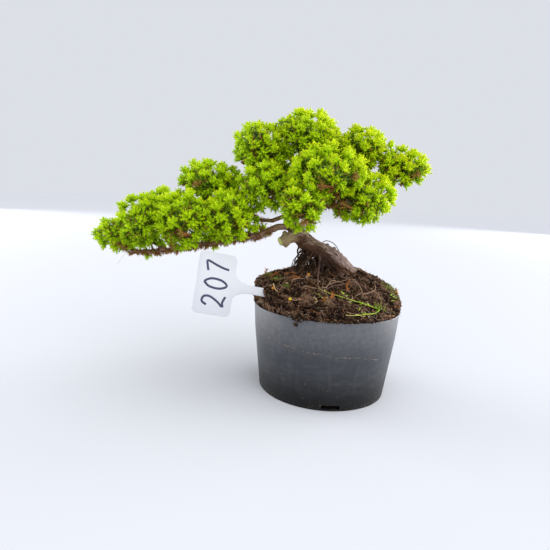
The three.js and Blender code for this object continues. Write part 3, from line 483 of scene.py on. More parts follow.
class Heap:
    """Points and triangles of many small shapes, gathered to become one mesh. Each shape brings a map, in
    which u runs along it and v is its tone."""

    def __init__(self):
        self.points = []
        self.triangles = []
        self.maps = []
        self.count = 0

    def add(self, points, triangles, uv):
        """Points (n, 3), triangles (m, 3) and the map at each triangle's corners (m, 3, 2)."""
        self.points.append(points)
        self.triangles.append(triangles + self.count)
        self.maps.append(uv)
        self.count += len(points)

    def add_copies(self, shape, matrices, offsets, tones):
        """One copy of a shape for each 3 by 3 matrix and offset, with its tone."""
        points = np.einsum("nij,kj->nki", matrices, shape.points) + offsets[:, None]
        n, k = points.shape[:2]
        triangles = shape.triangles[None] + (np.arange(n) * k)[:, None, None]
        u = np.broadcast_to(shape.along[None], (n, *shape.along.shape))
        v = np.broadcast_to(np.asarray(tones)[:, None, None], u.shape)
        self.add(points.reshape(-1, 3), triangles.reshape(-1, 3), np.stack([u, v], -1).reshape(-1, 3, 2))

    def add_one(self, shape, matrices, place, tone):
        """A single copy of a shape, from a stack of one matrix."""
        self.add_copies(shape, matrices, place[None], np.array([tone]))

    def add_tube(self, path, radii, sides, tones):
        """A closed tube along a path, with a radius and a tone at each of its points."""
        path = np.asarray(path, float)
        n = len(path)
        radii = np.broadcast_to(radii, n)
        tones = np.broadcast_to(tones, n)
        _, side, over = frames_along(path)
        angle = np.arange(sides) * 2 * math.pi / sides
        ring = np.cos(angle)[None, :, None] * side[:, None] + np.sin(angle)[None, :, None] * over[:, None]
        points = (path[:, None] + ring * radii[:, None, None]).reshape(-1, 3)
        i, k = np.meshgrid(np.arange(n - 1), np.arange(sides), indexing="ij")
        a = (i * sides + k).ravel()
        b = (i * sides + (k + 1) % sides).ravel()
        walls = np.vstack([np.column_stack([a, b, b + sides]), np.column_stack([a, b + sides, a + sides])])
        fan = np.arange(1, sides - 1)
        zero = np.zeros_like(fan)
        last = (n - 1) * sides
        first_cap = np.column_stack([zero, fan + 1, fan])
        last_cap = last + np.column_stack([zero, fan, fan + 1])
        triangles = np.vstack([walls, first_cap, last_cap])
        at = triangles // sides
        uv = np.stack([at / max(n - 1, 1), tones[at]], -1)
        self.add(points, triangles, uv)

    def add_spindle(self, foot, middle, end, radius, tones):
        """A three-sided spindle, thickest in the middle, with a tone at its foot, middle and end."""
        side, over = across(unit(end - foot)[None])
        angle = np.arange(3)[:, None] * 2 * math.pi / 3
        ring = middle + radius * (np.cos(angle) * side + np.sin(angle) * over)
        triangles = np.array([(2, 1, 0), (3, 2, 0), (1, 3, 0), (1, 2, 4), (2, 3, 4), (3, 1, 4)])
        place = np.array([0, 1, 1, 1, 2])[triangles]
        self.add(np.vstack([foot, ring, end]), triangles, np.stack([place / 2, np.asarray(tones)[place]], -1))

    def piece(self, name):
        """The finished object."""
        points = np.vstack(self.points)
        triangles = np.vstack(self.triangles)
        mesh = bpy.data.meshes.new(name)
        mesh.vertices.add(len(points))
        mesh.vertices.foreach_set("co", (points * MM).astype(np.float32).ravel())
        mesh.loops.add(triangles.size)
        mesh.loops.foreach_set("vertex_index", triangles.astype(np.int32).ravel())
        mesh.polygons.add(len(triangles))
        mesh.polygons.foreach_set("loop_start", np.arange(0, triangles.size, 3, dtype=np.int32))
        layer = mesh.uv_layers.new(name=UV_NAME)
        layer.data.foreach_set("uv", np.vstack(self.maps).astype(np.float32).ravel())
        mesh.update(calc_edges=True)
        mesh.validate()
        piece = bpy.data.objects.new(name, mesh)
        bpy.context.scene.collection.objects.link(piece)
        return piece


class Shape:
    """A small shape to be copied: its points, its triangles and how far along it each corner is."""

    def __init__(self, points, triangles, along):
        self.points = np.asarray(points, float)
        self.triangles = np.asarray(triangles, int)
        self.along = np.asarray(along, float)


# Work on single objects


def deselect_all():
    if bpy.context.object and bpy.context.object.mode != "OBJECT":
        bpy.ops.object.mode_set(mode="OBJECT")
    bpy.ops.object.select_all(action="DESELECT")


def take_up(piece):
    """Select a piece alone and make it the active one."""
    deselect_all()
    piece.select_set(True)
    bpy.context.view_layer.objects.active = piece


def settle(piece):
    """Move a piece's place into its mesh, so that its object sits at the origin."""
    take_up(piece)
    bpy.ops.object.transform_apply(location=True, rotation=True, scale=True)


def shape_with(piece, kind, **settings):
    """Add a modifier to a piece and apply it."""
    take_up(piece)
    modifier = piece.modifiers.new(kind.title(), kind)
    for name, value in settings.items():
        setattr(modifier, name, value)
    bpy.ops.object.modifier_apply(modifier=modifier.name)


def copy_of_solid(node, name):
    """A solid's mesh as a new object, its loose triangles joined."""
    piece = bpy.data.objects.new(name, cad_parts[node].data.copy())
    bpy.context.scene.collection.objects.link(piece)
    take_up(piece)
    bpy.ops.object.mode_set(mode="EDIT")
    bpy.ops.mesh.select_all(action="SELECT")
    bpy.ops.mesh.customdata_custom_splitnormals_clear()
    bpy.ops.mesh.remove_doubles(threshold=0.001 * MM)
    bpy.ops.object.mode_set(mode="OBJECT")
    piece.data.materials.clear()
    return piece


def finish_piece(piece, finish, nodes=()):
    """Give a piece its material and say what it rides on and stands for."""
    piece.data.materials.clear()
    piece.data.materials.append(finish)
    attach(piece, "root")
    if nodes:
        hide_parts(*nodes)


def points_of(piece):
    """A mesh's points and normals in millimetres."""
    mesh = piece.data
    points = np.empty(3 * len(mesh.vertices), np.float32)
    mesh.vertices.foreach_get("co", points)
    normals = np.empty(3 * len(mesh.vertices), np.float32)
    mesh.vertices.foreach_get("normal", normals)
    return points.reshape(-1, 3).astype(float) / MM, normals.reshape(-1, 3).astype(float)


def put_points(piece, points):
    piece.data.vertices.foreach_set("co", (points * MM).astype(np.float32).ravel())
    piece.data.update()


def store(piece, name, values):
    """Keep a number or a vector at each point of a piece, for its material."""
    values = np.asarray(values, np.float32)
    kind, field = ("FLOAT_VECTOR", "vector") if values.ndim == 2 else ("FLOAT", "value")
    piece.data.attributes.new(name, kind, "POINT").data.foreach_set(field, values.ravel())


def take_mesh(model):
    """A model's points and triangles. The model itself goes."""
    settle(model)
    points = np.array([v.co for v in model.data.vertices])
    triangles = np.array([tuple(p.vertices) for p in model.data.polygons])
    bpy.data.objects.remove(model)
    return points, triangles


def ball_shape(subdivisions, roughness=0.0, seed=0):
    """A ball one unit in radius, or a crumb, the more roughness."""
    deselect_all()
    bpy.ops.mesh.primitive_ico_sphere_add(subdivisions=subdivisions, radius=1)
    points, triangles = take_mesh(bpy.context.object)
    points *= 1 + roughness * np.random.default_rng(seed).uniform(-1, 1, (len(points), 1))
    return Shape(points, triangles, np.full(triangles.shape, 0.5))


def soft_noise(points, size, seed):
    """Smooth noise from -1 to 1 with lumps of about that size, as a sum of crossing waves."""
    rng = np.random.default_rng(seed)
    total = np.zeros(len(points))
    for _ in range(9):
        wave = unit(rng.normal(size=3)) * rng.uniform(0.7, 1.6) * 2 * math.pi / size
        total += np.sin(points @ wave + rng.uniform(0, 2 * math.pi))
    return total / 4.5


# Shader maths written as Python expressions


class Value:
    """A number that varies over a surface. Python's operators on it add Math nodes."""

    def __init__(self, recipe, socket):
        self.recipe = recipe
        self.socket = socket

    def _math(self, operation, *inputs):
        return self.recipe.node("ShaderNodeMath", {"operation": operation}, *inputs)

    def __add__(self, other):
        return self._math("ADD", self, other)

    def __radd__(self, other):
        return self._math("ADD", other, self)

    def __sub__(self, other):
        return self._math("SUBTRACT", self, other)

    def __rsub__(self, other):
        return self._math("SUBTRACT", other, self)

    def __mul__(self, other):
        return self._math("MULTIPLY", self, other)

    def __rmul__(self, other):
        return self._math("MULTIPLY", other, self)

    def __gt__(self, other):
        return self._math("GREATER_THAN", self, other)

    def __lt__(self, other):
        return self._math("LESS_THAN", self, other)

    def __abs__(self):
        return self._math("ABSOLUTE", self)

    def span(self, low, high):
        """A smooth step from 0 at one value to 1 at another."""
        settings = {"clamp": True, "interpolation_type": "SMOOTHSTEP"}
        return self.recipe.node("ShaderNodeMapRange", settings, Value=self, From_Min=low, From_Max=high)


class Recipe:
    """The nodes of one material."""

    def __init__(self, name):
        self.material = bpy.data.materials.new(name)
        self.material.use_nodes = True
        self.tree = self.material.node_tree
        self.tree.nodes.clear()

    def node(self, kind, settings=None, *inputs, output=0, **named):
        """Add a node of that type, set it up, feed its sockets and return one of its outputs."""
        made = self.tree.nodes.new(kind)
        for name, value in (settings or {}).items():
            if name == "stops":
                self._set_stops(made.color_ramp, value)
            else:
                setattr(made, name, value)
        feeds = list(enumerate(inputs)) + [(name.replace("_", " "), value) for name, value in named.items()]
        for key, value in feeds:
            if isinstance(value, Value):
                self.tree.links.new(value.socket, made.inputs[key])
            else:
                made.inputs[key].default_value = value
        return Value(self, made.outputs[output])

    @staticmethod
    def _set_stops(ramp, stops):
        while len(ramp.elements) < len(stops):
            ramp.elements.new(1.0)
        for element, (place, colour) in zip(ramp.elements, stops):
            element.position = place
            element.color = (*colour, 1.0)

    def place(self):
        return self.node("ShaderNodeTexCoord", None, output=3)

    def split(self, vector):
        made = self.node("ShaderNodeSeparateXYZ", None, vector)
        outputs = made.socket.node.outputs
        return [Value(self, outputs[k]) for k in range(3)]

    def own_map(self):
        """u and v of the piece's own map."""
        return self.split(self.node("ShaderNodeUVMap", {"uv_map": UV_NAME}))[:2]

    def attribute(self, name, output=2):
        return self.node("ShaderNodeAttribute", {"attribute_name": name}, output=output)

    def stretched(self, vector, scale):
        return self.node("ShaderNodeVectorMath", {"operation": "MULTIPLY"}, vector, scale)

    def noise(self, vector, size, detail=3.0, roughness=0.55):
        """Noise from 0 to 1 with lumps of that size in millimetres."""
        scale = 1 / (size * MM)
        sockets = {"Vector": vector, "Scale": scale, "Detail": detail, "Roughness": roughness}
        return self.node("ShaderNodeTexNoise", None, **sockets)

    def near(self, place, zone):
        """1 at the middle of a zone, given in millimetres, falling to 0 at its reach."""
        centre, radius = zone
        middle = tuple(c * MM for c in centre)
        away = self.node("ShaderNodeVectorMath", {"operation": "DISTANCE"}, place, middle, output=1)
        return 1 - away.span(0.3 * radius * MM, radius * MM)

    def ramp(self, value, *stops):
        """Colours in linear light at places from 0 to 1."""
        return self.node("ShaderNodeValToRGB", {"stops": stops}, value)

    def mixed(self, factor, first, second):
        """Two colours mixed."""
        made = self.tree.nodes.new("ShaderNodeMix")
        made.data_type = "RGBA"
        made.clamp_factor = True
        for key, value in ((0, factor), (6, first), (7, second)):
            if isinstance(value, Value):
                self.tree.links.new(value.socket, made.inputs[key])
            else:
                made.inputs[key].default_value = (*value, 1.0) if isinstance(value, tuple) else value
        return Value(self, made.outputs[2])

    def bump(self, height, depth, strength):
        """A normal bumped by a height from 0 to 1, for that depth in millimetres."""
        return self.node("ShaderNodeBump", None, Strength=strength, Distance=depth * MM, Height=height)

    def surface(self, **sockets):
        """The finished surface from a Principled shader's sockets."""
        shader = self.node("ShaderNodeBsdfPrincipled", None, **sockets)
        output = self.tree.nodes.new("ShaderNodeOutputMaterial")
        self.tree.links.new(shader.socket, output.inputs["Surface"])
        return self.material


# What a user may change


class NeedleSettings(bpy.types.PropertyGroup):
    """The juniper's foliage."""

    needle_length: bpy.props.FloatProperty(
        name="Needle Length", description="Of a full-grown needle, in millimetres", default=3.4, min=1
    )
    needle_width: bpy.props.FloatProperty(
        name="Needle Width", description="At its foot, in millimetres", default=1.5, min=0.2
    )
    whorl_spacing: bpy.props.FloatProperty(
        name="Whorl Spacing",
        description="Between two rings of three needles, in millimetres",
        default=1.25,
        min=0.5,
    )
    plume_gap: bpy.props.FloatProperty(
        name="Plume Gap",
        description="Between the tips of neighbouring plumes, in millimetres",
        default=15,
        min=5,
    )
    head_radius: bpy.props.FloatProperty(
        name="Head Radius", description="Of the rounded end of a plume, in millimetres", default=7.5, min=2
    )
    plume_length: bpy.props.FloatProperty(
        name="Plume Length", description="Of the longest plume, in millimetres", default=30, min=5
    )
    dark_colour: bpy.props.FloatVectorProperty(
        name="Old Needles",
        description="Inside the tree",
        subtype="COLOR",
        size=3,
        default=(0.13, 0.26, 0.004),
    )
    middle_colour: bpy.props.FloatVectorProperty(
        name="Needles", description="Of most needles", subtype="COLOR", size=3, default=(0.46, 0.73, 0.004)
    )
    light_colour: bpy.props.FloatVectorProperty(
        name="New Needles",
        description="At the tips of the shoots",
        subtype="COLOR",
        size=3,
        default=(0.62, 0.79, 0.006),
    )
    tip_colour: bpy.props.FloatVectorProperty(
        name="Newest Needles",
        description="Where the sun has them",
        subtype="COLOR",
        size=3,
        default=(0.74, 0.83, 0.006),
    )


class WoodSettings(bpy.types.PropertyGroup):
    """The trunk, limbs and roots."""

    grain: bpy.props.FloatProperty(
        name="Mesh Grain", description="Size of the faces of the bark, in millimetres", default=0.9, min=0.4
    )
    trunk_relief: bpy.props.FloatProperty(
        name="Trunk Relief", description="Depth of the bark's furrows, in millimetres", default=1.25, min=0
    )
    old_colour: bpy.props.FloatVectorProperty(
        name="Weathered Bark", description="On top", subtype="COLOR", size=3, default=(0.165, 0.11, 0.072)
    )
    young_colour: bpy.props.FloatVectorProperty(
        name="Fresh Bark",
        description="In furrows and below",
        subtype="COLOR",
        size=3,
        default=(0.085, 0.04, 0.023),
    )


class RootSettings(bpy.types.PropertyGroup):
    """The fine roots."""

    seed: bpy.props.IntProperty(name="Seed", description="Of how they hang and lie", default=3)


class SoilSettings(bpy.types.PropertyGroup):
    """The root ball."""

    grain: bpy.props.FloatProperty(
        name="Mesh Grain", description="Size of the faces of the soil, in millimetres", default=1.28, min=0.6
    )
    relief: bpy.props.FloatProperty(
        name="Relief", description="Height of its lumps, in millimetres", default=2.3, min=0
    )
    dark_colour: bpy.props.FloatVectorProperty(
        name="Wet Peat", description="In hollows", subtype="COLOR", size=3, default=(0.005, 0.0028, 0.0022)
    )
    colour: bpy.props.FloatVectorProperty(
        name="Peat",
        description="Over most of the top",
        subtype="COLOR",
        size=3,
        default=(0.028, 0.0148, 0.0094),
    )
    light_colour: bpy.props.FloatVectorProperty(
        name="Dry Peat", description="On lumps", subtype="COLOR", size=3, default=(0.17, 0.102, 0.064)
    )


class LitterSettings(bpy.types.PropertyGroup):
    """What lies on the soil."""

    seed: bpy.props.IntProperty(name="Seed", description="Of where everything falls", default=5)
    crumbs: bpy.props.IntProperty(name="Crumbs", description="How many crumbs of peat", default=1500, min=3)
    fibres: bpy.props.IntProperty(name="Fibres", description="How many root fibres", default=2600, min=1)
    needles: bpy.props.IntProperty(name="Needles", description="How many dead needles", default=500, min=1)


class WeedSettings(bpy.types.PropertyGroup):
    """The weed on the soil."""

    seed: bpy.props.IntProperty(name="Seed", description="Of how the leaves stand", default=9)
    bareness: bpy.props.FloatProperty(
        name="Bareness",
        description="Share of leaves that are missing",
        subtype="FACTOR",
        default=0.72,
        min=0,
        max=1,
    )
    crown_leaves: bpy.props.IntProperty(
        name="Crown Leaves", description="Upright leaves at the crown", default=13, min=0
    )
    colour: bpy.props.FloatVectorProperty(
        name="Colour",
        description="Of the youngest leaves",
        subtype="COLOR",
        size=3,
        default=(0.38, 0.6, 0.04),
    )


class PotSettings(bpy.types.PropertyGroup):
    """The nursery pot."""

    rim_radius: bpy.props.FloatProperty(
        name="Rim Radius", description="Outside, in millimetres", default=73.1, min=10
    )
    knee_radius: bpy.props.FloatProperty(
        name="Knee Radius", description="Where the wall turns steeper, in millimetres", default=71.3, min=10
    )
    knee_height: bpy.props.FloatProperty(
        name="Knee Height", description="Where the wall turns steeper, in millimetres", default=60, min=5
    )
    foot_radius: bpy.props.FloatProperty(
        name="Foot Radius", description="Outside, in millimetres", default=64, min=10
    )
    height: bpy.props.FloatProperty(
        name="Height", description="Of the rim, in millimetres", default=RIM_HEIGHT, min=10
    )
    wall: bpy.props.FloatProperty(name="Wall", description="Thickness, in millimetres", default=1.6, min=0.5)
    colour: bpy.props.FloatVectorProperty(
        name="Plastic",
        description="Colour of the pot",
        subtype="COLOR",
        size=3,
        default=(0.03, 0.033, 0.04),
    )


class LabelSettings(bpy.types.PropertyGroup):
    """The plant label."""

    bevel: bpy.props.FloatProperty(
        name="Edge", description="Rounding of its edges, in millimetres", default=0.25, min=0
    )
    colour: bpy.props.FloatVectorProperty(
        name="Plastic",
        description="Colour of the label",
        subtype="COLOR",
        size=3,
        default=(0.54, 0.55, 0.585),
    )
    ink_colour: bpy.props.FloatVectorProperty(
        name="Ink",
        description="Colour of its number",
        subtype="COLOR",
        size=3,
        default=(0.012, 0.014, 0.06),
    )


class StageSettings(bpy.types.PropertyGroup):
    """The camera, light and floor."""

    daylight: bpy.props.FloatProperty(
        name="Daylight", description="Strength of the light all round", default=0.8, min=0
    )
    skylight: bpy.props.FloatProperty(
        name="Skylight", description="Strength of the soft light from above", default=2.0, min=0
    )
    floor_colour: bpy.props.FloatVectorProperty(
        name="Floor", description="Colour of the floor", subtype="COLOR", size=3, default=(0.56, 0.57, 0.6)
    )


# Foliage


def needle_shape():
    """A needle one unit long and wide: an awl with a keel below and a flat side above."""
    deselect_all()
    bpy.ops.mesh.primitive_cone_add(vertices=3, radius1=0.5, radius2=0, depth=1, location=(0, 0, 0.5))
    points, triangles = take_mesh(bpy.context.object)
    points[:, 1] *= 0.55
    return Shape(points, triangles, points[triangles][:, :, 2])


def inner_tones(rng, count):
    """The tones of old needles inside the tree, some of them dead."""
    dead = rng.random(count) < 0.25
    return np.where(dead, rng.uniform(0.1, 0.2, count), rng.uniform(0.25, 0.42, count))


def add_core(heap, core, centre, reach, count, needle, seed):
    """The dark heart of a spray: old needles and twigs too deep to tell apart, painted dark as the shade
    inside, and bristling with more.
    """
    relief = 0.8 + 0.4 * soft_noise(core.points, 0.5, seed)
    points = centre + core.points * relief[:, None] * reach
    heap.add(points, core.triangles, np.stack([core.along, np.full(core.triangles.shape, HEART_TONE)], -1))
    rng = np.random.default_rng(seed)
    look = unit(rng.normal(size=(count, 3)))
    feet = centre + look * (0.8 + 0.4 * soft_noise(look, 0.5, seed))[:, None] * reach * 0.9
    ways = unit(look + rng.normal(0, 0.6, look.shape) + 0.4 * UP)
    matrices = pointing(ways, 1.9, rng.uniform(5, 9, (count, 1)))
    heap.add_copies(needle, matrices, feet, inner_tones(rng, count))


def shoots_of_plume(rng, root, tip, vigour_and_light, head):
    """The axes of one plume: a leader, and side shoots that curve up to a rounded head round its tip.

    Each axis is (start, direction, bend, length, bare share, tone at foot, tone at tip)."""
    whole = tip - root
    length = float(np.linalg.norm(whole))
    direction = whole / length
    side, over = across(direction[None])
    turn = rng.uniform(0, math.pi)
    side = side[0] * math.cos(turn) + over[0] * math.sin(turn)
    over = np.cross(direction, side)
    tone = 0.58 + 0.22 * vigour_and_light + rng.normal(0, 0.07)
    axes = [(root, direction, np.zeros(3), length, 0.2, tone - 0.32, tone + 0.12)]
    count = int(SHOOTS[0] + SHOOTS[1] * length)
    for i in range(count):
        share = (i + rng.uniform(0.2, 0.8)) / count
        foot = max(0.15 + 0.6 * (1 - share), 1 - SHOOT_REACH / length)
        start = root + whole * foot
        around = turn + i * GOLDEN_ANGLE
        spread = head * math.sqrt(share) * rng.uniform(0.85, 1.1)
        out = side * math.cos(around) + HEAD_FLATNESS * over * math.sin(around)
        sink = 0.3 * spread + rng.uniform(-1.0, 2.5)
        vector = tip + out * spread - direction * sink - start
        bend = 0.22 * float(np.linalg.norm(vector)) * direction
        first = vector - bend
        reach = float(np.linalg.norm(first))
        if reach > 3:
            axes.append((start, first / reach, bend, reach, 0.12, tone - 0.34, tone + 0.14 - 0.08 * share))
    return axes


def clothe(heap, rng, axes, needle, settings):
    """Needles in whorls of three along each axis, and the axis's own stem."""
    feet, tangents, lean, turn, size, tone = [], [], [], [], [], []
    for start, direction, bend, length, bare, tone_foot, tone_tip in axes:
        count = max(3, int((1 - bare) * length / settings.whorl_spacing))
        s = bare + (1 - bare) * ((np.arange(count) + 0.5) / count) ** 0.85
        place = start + direction * (s * length)[:, None] + bend * (s**2)[:, None]
        tangent = unit(direction * length + 2 * bend * s[:, None])
        whorl_turn = rng.uniform(0, 2 * math.pi) + np.arange(count) * math.pi / 3
        for k in range(3):
            feet.append(place)
            tangents.append(tangent)
            turn.append(whorl_turn + k * 2 * math.pi / 3 + rng.normal(0, 0.18, count))
            lean.append(np.radians(NEEDLE_LEAN[0] - NEEDLE_LEAN[1] * s**4) + rng.normal(0, 0.1, count))
            size.append((1 - 0.4 * s**4) * rng.uniform(0.82, 1.1, count))
            tone.append(tone_foot + (tone_tip - tone_foot) * s + rng.normal(0, 0.045, count))
        feet.append(place[-1:].repeat(2, axis=0))
        tangents.append(tangent[-1:].repeat(2, axis=0))
        turn.append(rng.uniform(0, 6, 2))
        lean.append(rng.uniform(0.05, 0.4, 2))
        size.append(rng.uniform(0.45, 0.65, 2))
        tone.append(np.full(2, tone_tip + 0.05))
        if np.any(bend):
            middle = start + direction * length * 0.55 + bend * 0.3
            end = start + direction * length + bend
            heap.add_spindle(start, middle, end, SHOOT_RADIUS, (tone_foot, tone_foot + 0.1, tone_tip))
        else:
            t = np.linspace(0, 1, 4)
            tones = np.interp(t, [0, 0.35, 1], [min(tone_foot, 0.12), tone_foot, tone_tip - 0.1])
            radii = np.interp(t, [0, bare, 0.7, 1], LEADER_RADII)
            heap.add_tube(start + direction * length * t[:, None], radii, 3, tones)
    feet, tangents = np.vstack(feet), np.vstack(tangents)
    lean, turn, size, tone = (np.concatenate(a) for a in (lean, turn, size, tone))
    side, over = across(tangents)
    out = side * np.cos(turn)[:, None] + over * np.sin(turn)[:, None]
    heading = tangents * np.cos(lean)[:, None] + out * np.sin(lean)[:, None]
    width = unit(np.cross(heading, tangents + 1e-4 * side))
    depth = np.cross(heading, width)
    length = settings.needle_length * size
    girth = settings.needle_width * (0.7 + 0.3 * size)
    matrices = np.stack([width * girth[:, None], depth * girth[:, None], heading * length[:, None]], -1)
    tone = np.where(tone < DEAD_TONE, np.clip(tone, *DEAD_RANGE), np.clip(tone, *GREEN_RANGE))
    heap.add_copies(needle, matrices, feet, tone)


def spray_centres(pad):
    """Where the sprays of a pad have their middles."""
    _, centre, reach, _, _, count, turn = pad
    centre, reach = np.array(centre, float), np.array(reach, float)
    around = 2 * math.pi * np.arange(count) / count + math.radians(turn)
    lift = SPRAY_LIFT * np.where(np.arange(count) % 2, 1, -1)
    shift = np.column_stack([SPRAY_SPREAD * np.cos(around), SPRAY_SPREAD * np.sin(around), lift])
    return centre + shift * reach


def buried(point, own):
    """Whether a point lies deep inside another pad."""
    for pad in PADS:
        if pad is not own and np.linalg.norm((point - np.array(pad[1])) / np.array(pad[2])) < CROWDED:
            return True
    return False


def grow_pad(pad, seed, needle, core, settings):
    """The plumes of a pad, gathered spray by spray."""
    _, centre, reach, _, _, count, _ = pad
    rng = np.random.default_rng(seed)
    centre, reach = np.array(centre, float), np.array(reach, float)
    heart = centre - UP * HEART_DEPTH * reach[2]
    middles = spray_centres(pad)
    heaps = [Heap() for _ in range(count)]
    sections = (reach[0] * reach[1], reach[0] * reach[2], reach[1] * reach[2])
    area = 4 * math.pi * float(np.mean(sections))
    plumes = int(area / settings.plume_gap**2)
    for i in range(plumes):
        rise = 1 - 2 * (i + 0.5) / plumes
        around = i * GOLDEN_ANGLE + seed
        flat = math.sqrt(1 - rise * rise)
        look = np.array([flat * math.cos(around), flat * math.sin(around), rise])
        tip = centre + reach * look * rng.uniform(0.86, 0.99)
        if buried(tip, pad):
            continue
        k = int(np.argmin(np.linalg.norm(middles - tip, axis=1)))
        away = tip - middles[k]
        heading = unit(away) + 0.35 * look
        heading[2] = max(heading[2], DROOP) + 0.55 + 0.35 * rise
        heading = unit(heading + rng.normal(0, 0.22, 3))
        length = np.linalg.norm(away) * rng.uniform(0.8, 1.05)
        length = float(np.clip(length, PLUME_MIN, settings.plume_length))
        root = tip - heading * length
        out = float(np.linalg.norm((root - centre) / reach))
        if out > ROOT_REACH:
            root = centre + (root - centre) * ROOT_REACH / out
        # Painted light and shade: plumes high on a pad and at the crown's top right are painted lighter,
        # those underneath darker
        vigour_and_light = 0.5 + 0.5 * rise + SUNNY * float(np.clip((tip[0] + tip[2] - 200) / 60, -0.5, 1))
        axes = shoots_of_plume(rng, root, tip, vigour_and_light, settings.head_radius)
        died = any(np.linalg.norm(tip - place) < room for place, room in DIED_BACK)
        if died or rng.random() < UNDERSIDE_DEAD * -rise:
            axes = [axis[:5] + DEAD_TONES for axis in axes[:DEAD_AXES]]
        clothe(heaps[k], rng, axes, needle, settings)
        bend = (middles[k] + root) / 2 - UP * 1.5
        twig = smooth_path([middles[k], bend, root], 4)
        heaps[k].add_tube(twig, np.linspace(0.9, 0.6, 4), 3, 0.1)
        old_tones = inner_tones(rng, TWIG_NEEDLES)
        add_shag(heaps[k], rng, twig, np.full(4, 0.6), needle, (4, 7), old_tones)
    if pad[0] == LONE_PLUME[0]:
        root, tip = (np.array(place, float) for place in LONE_PLUME[1:])
        k = int(np.argmin(np.linalg.norm(middles - root, axis=1)))
        axes = shoots_of_plume(rng, root, tip, 1.2, 0.5 * settings.head_radius)
        clothe(heaps[k], rng, axes, needle, settings)
        heaps[k].add_tube(smooth_path([middles[k], (middles[k] + root) / 2, root], 5), 0.8, 4, 0.1)
    add_core(heaps[0], core, centre, HUB_SHARE * reach, HUB_NEEDLES, needle, 10 * seed + 9)
    for k, middle in enumerate(middles):
        add_core(heaps[k], core, middle, CORE_SHARE * reach, CORE_NEEDLES, needle, 10 * seed + k)
        bend = (middle + heart) / 2 - UP * 1.0
        heaps[k].add_tube(smooth_path([heart, bend, middle], 6), np.linspace(1.25, 0.9, 6), 5, 0.04)
    return heaps


def add_shag(heap, rng, path, radii, needle, size, tones):
    """Loose needles along a limb or twig, one for each tone, with lengths from one size to another."""
    count = len(tones)
    tangent, side, over = frames_along(path)
    j = rng.integers(0, len(path), count)
    turn = rng.uniform(0, 2 * math.pi, (count, 1))
    out = side[j] * np.cos(turn) + over[j] * np.sin(turn)
    feet = path[j] + out * radii[j][:, None] * 0.95 + tangent[j] * rng.uniform(-2.5, 2.5, (count, 1))
    ways = unit(out * rng.uniform(0.3, 1.0, (count, 1)) + tangent[j] * rng.uniform(-0.3, 1.2, (count, 1)))
    length = rng.uniform(*size, (count, 1))
    heap.add_copies(needle, pointing(ways, 0.6 + 0.18 * length, length), feet, tones)


def grow_sprigs(rng, path, radii, spacing, needle, settings):
    """Short plumes straight from a limb, all round it and turned up to the light."""
    heap = Heap()
    tangent, side, over = frames_along(path)
    run = np.r_[0, np.cumsum(np.linalg.norm(np.diff(path, axis=0), axis=1))]
    for i, at in enumerate(np.arange(spacing / 2, run[-1], spacing)):
        j = int(np.searchsorted(run, at))
        around = i * GOLDEN_ANGLE + rng.uniform(-0.3, 0.3)
        out = side[j] * math.cos(around) + over[j] * math.sin(around)
        heading = unit(out + 0.5 * tangent[j] + 0.5 * UP)
        dead = rng.random() < DEAD_SHARES[1 if out[2] < -0.15 else 0]
        length = rng.uniform(3, 5) if dead else rng.uniform(6, 9) + 11 * max(0.0, heading[2])
        root = path[j] + out * radii[j] * 0.7
        axes = shoots_of_plume(rng, root, root + heading * length, 0.25, 0.75 * settings.head_radius)
        if dead:
            axes = [axis[:5] + DEAD_TONES for axis in axes[:DEAD_SPRIG_AXES]]
        clothe(heap, rng, axes, needle, settings)
    return heap


def needle_finish(settings):
    """Bark for the lowest tones, then brown dead needles, then greens up to those of new growth."""
    recipe = Recipe("juniper needles")
    along, tone = recipe.own_map()
    colour = recipe.ramp(
        tone,
        (0.0, (0.09, 0.04, 0.022)),
        (0.09, (0.3, 0.135, 0.065)),
        (0.12, (0.33, 0.13, 0.035)),
        (0.2, (0.5, 0.26, 0.06)),
        (0.24, tuple(settings.dark_colour)),
        (0.58, tuple(settings.middle_colour)),
        (0.85, tuple(settings.light_colour)),
        (1.0, tuple(settings.tip_colour)),
    )
    mottle = recipe.noise(recipe.place(), 2.4, detail=4, roughness=0.7)
    # The hearts are mottled and painted nearly black: old needles and twigs, with painted shade deep inside
    # the spray
    heart = recipe.ramp(
        mottle,
        (0.4, (0.012, 0.02, 0.003)),
        (0.5, (0.06, 0.115, 0.004)),
        (0.58, (0.17, 0.31, 0.006)),
        (0.66, (0.22, 0.11, 0.035)),
    )
    colour = recipe.mixed((abs(tone - HEART_TONE) < 0.01) * 1.0, colour, heart)
    tip = along.span(0.35, 1.0)
    green = (tone > HEART_TONE + 0.01) * 1.0
    colour = recipe.mixed(tip * 0.3 * green, colour, (0.6, 0.79, 0.01))
    colour = recipe.mixed((1 - along.span(0.0, 0.3)) * 0.4 * green, colour, (0.26, 0.3, 0.004))
    return recipe.surface(Base_Color=colour, Roughness=0.62 - 0.12 * tip, Specular_IOR_Level=0.1)


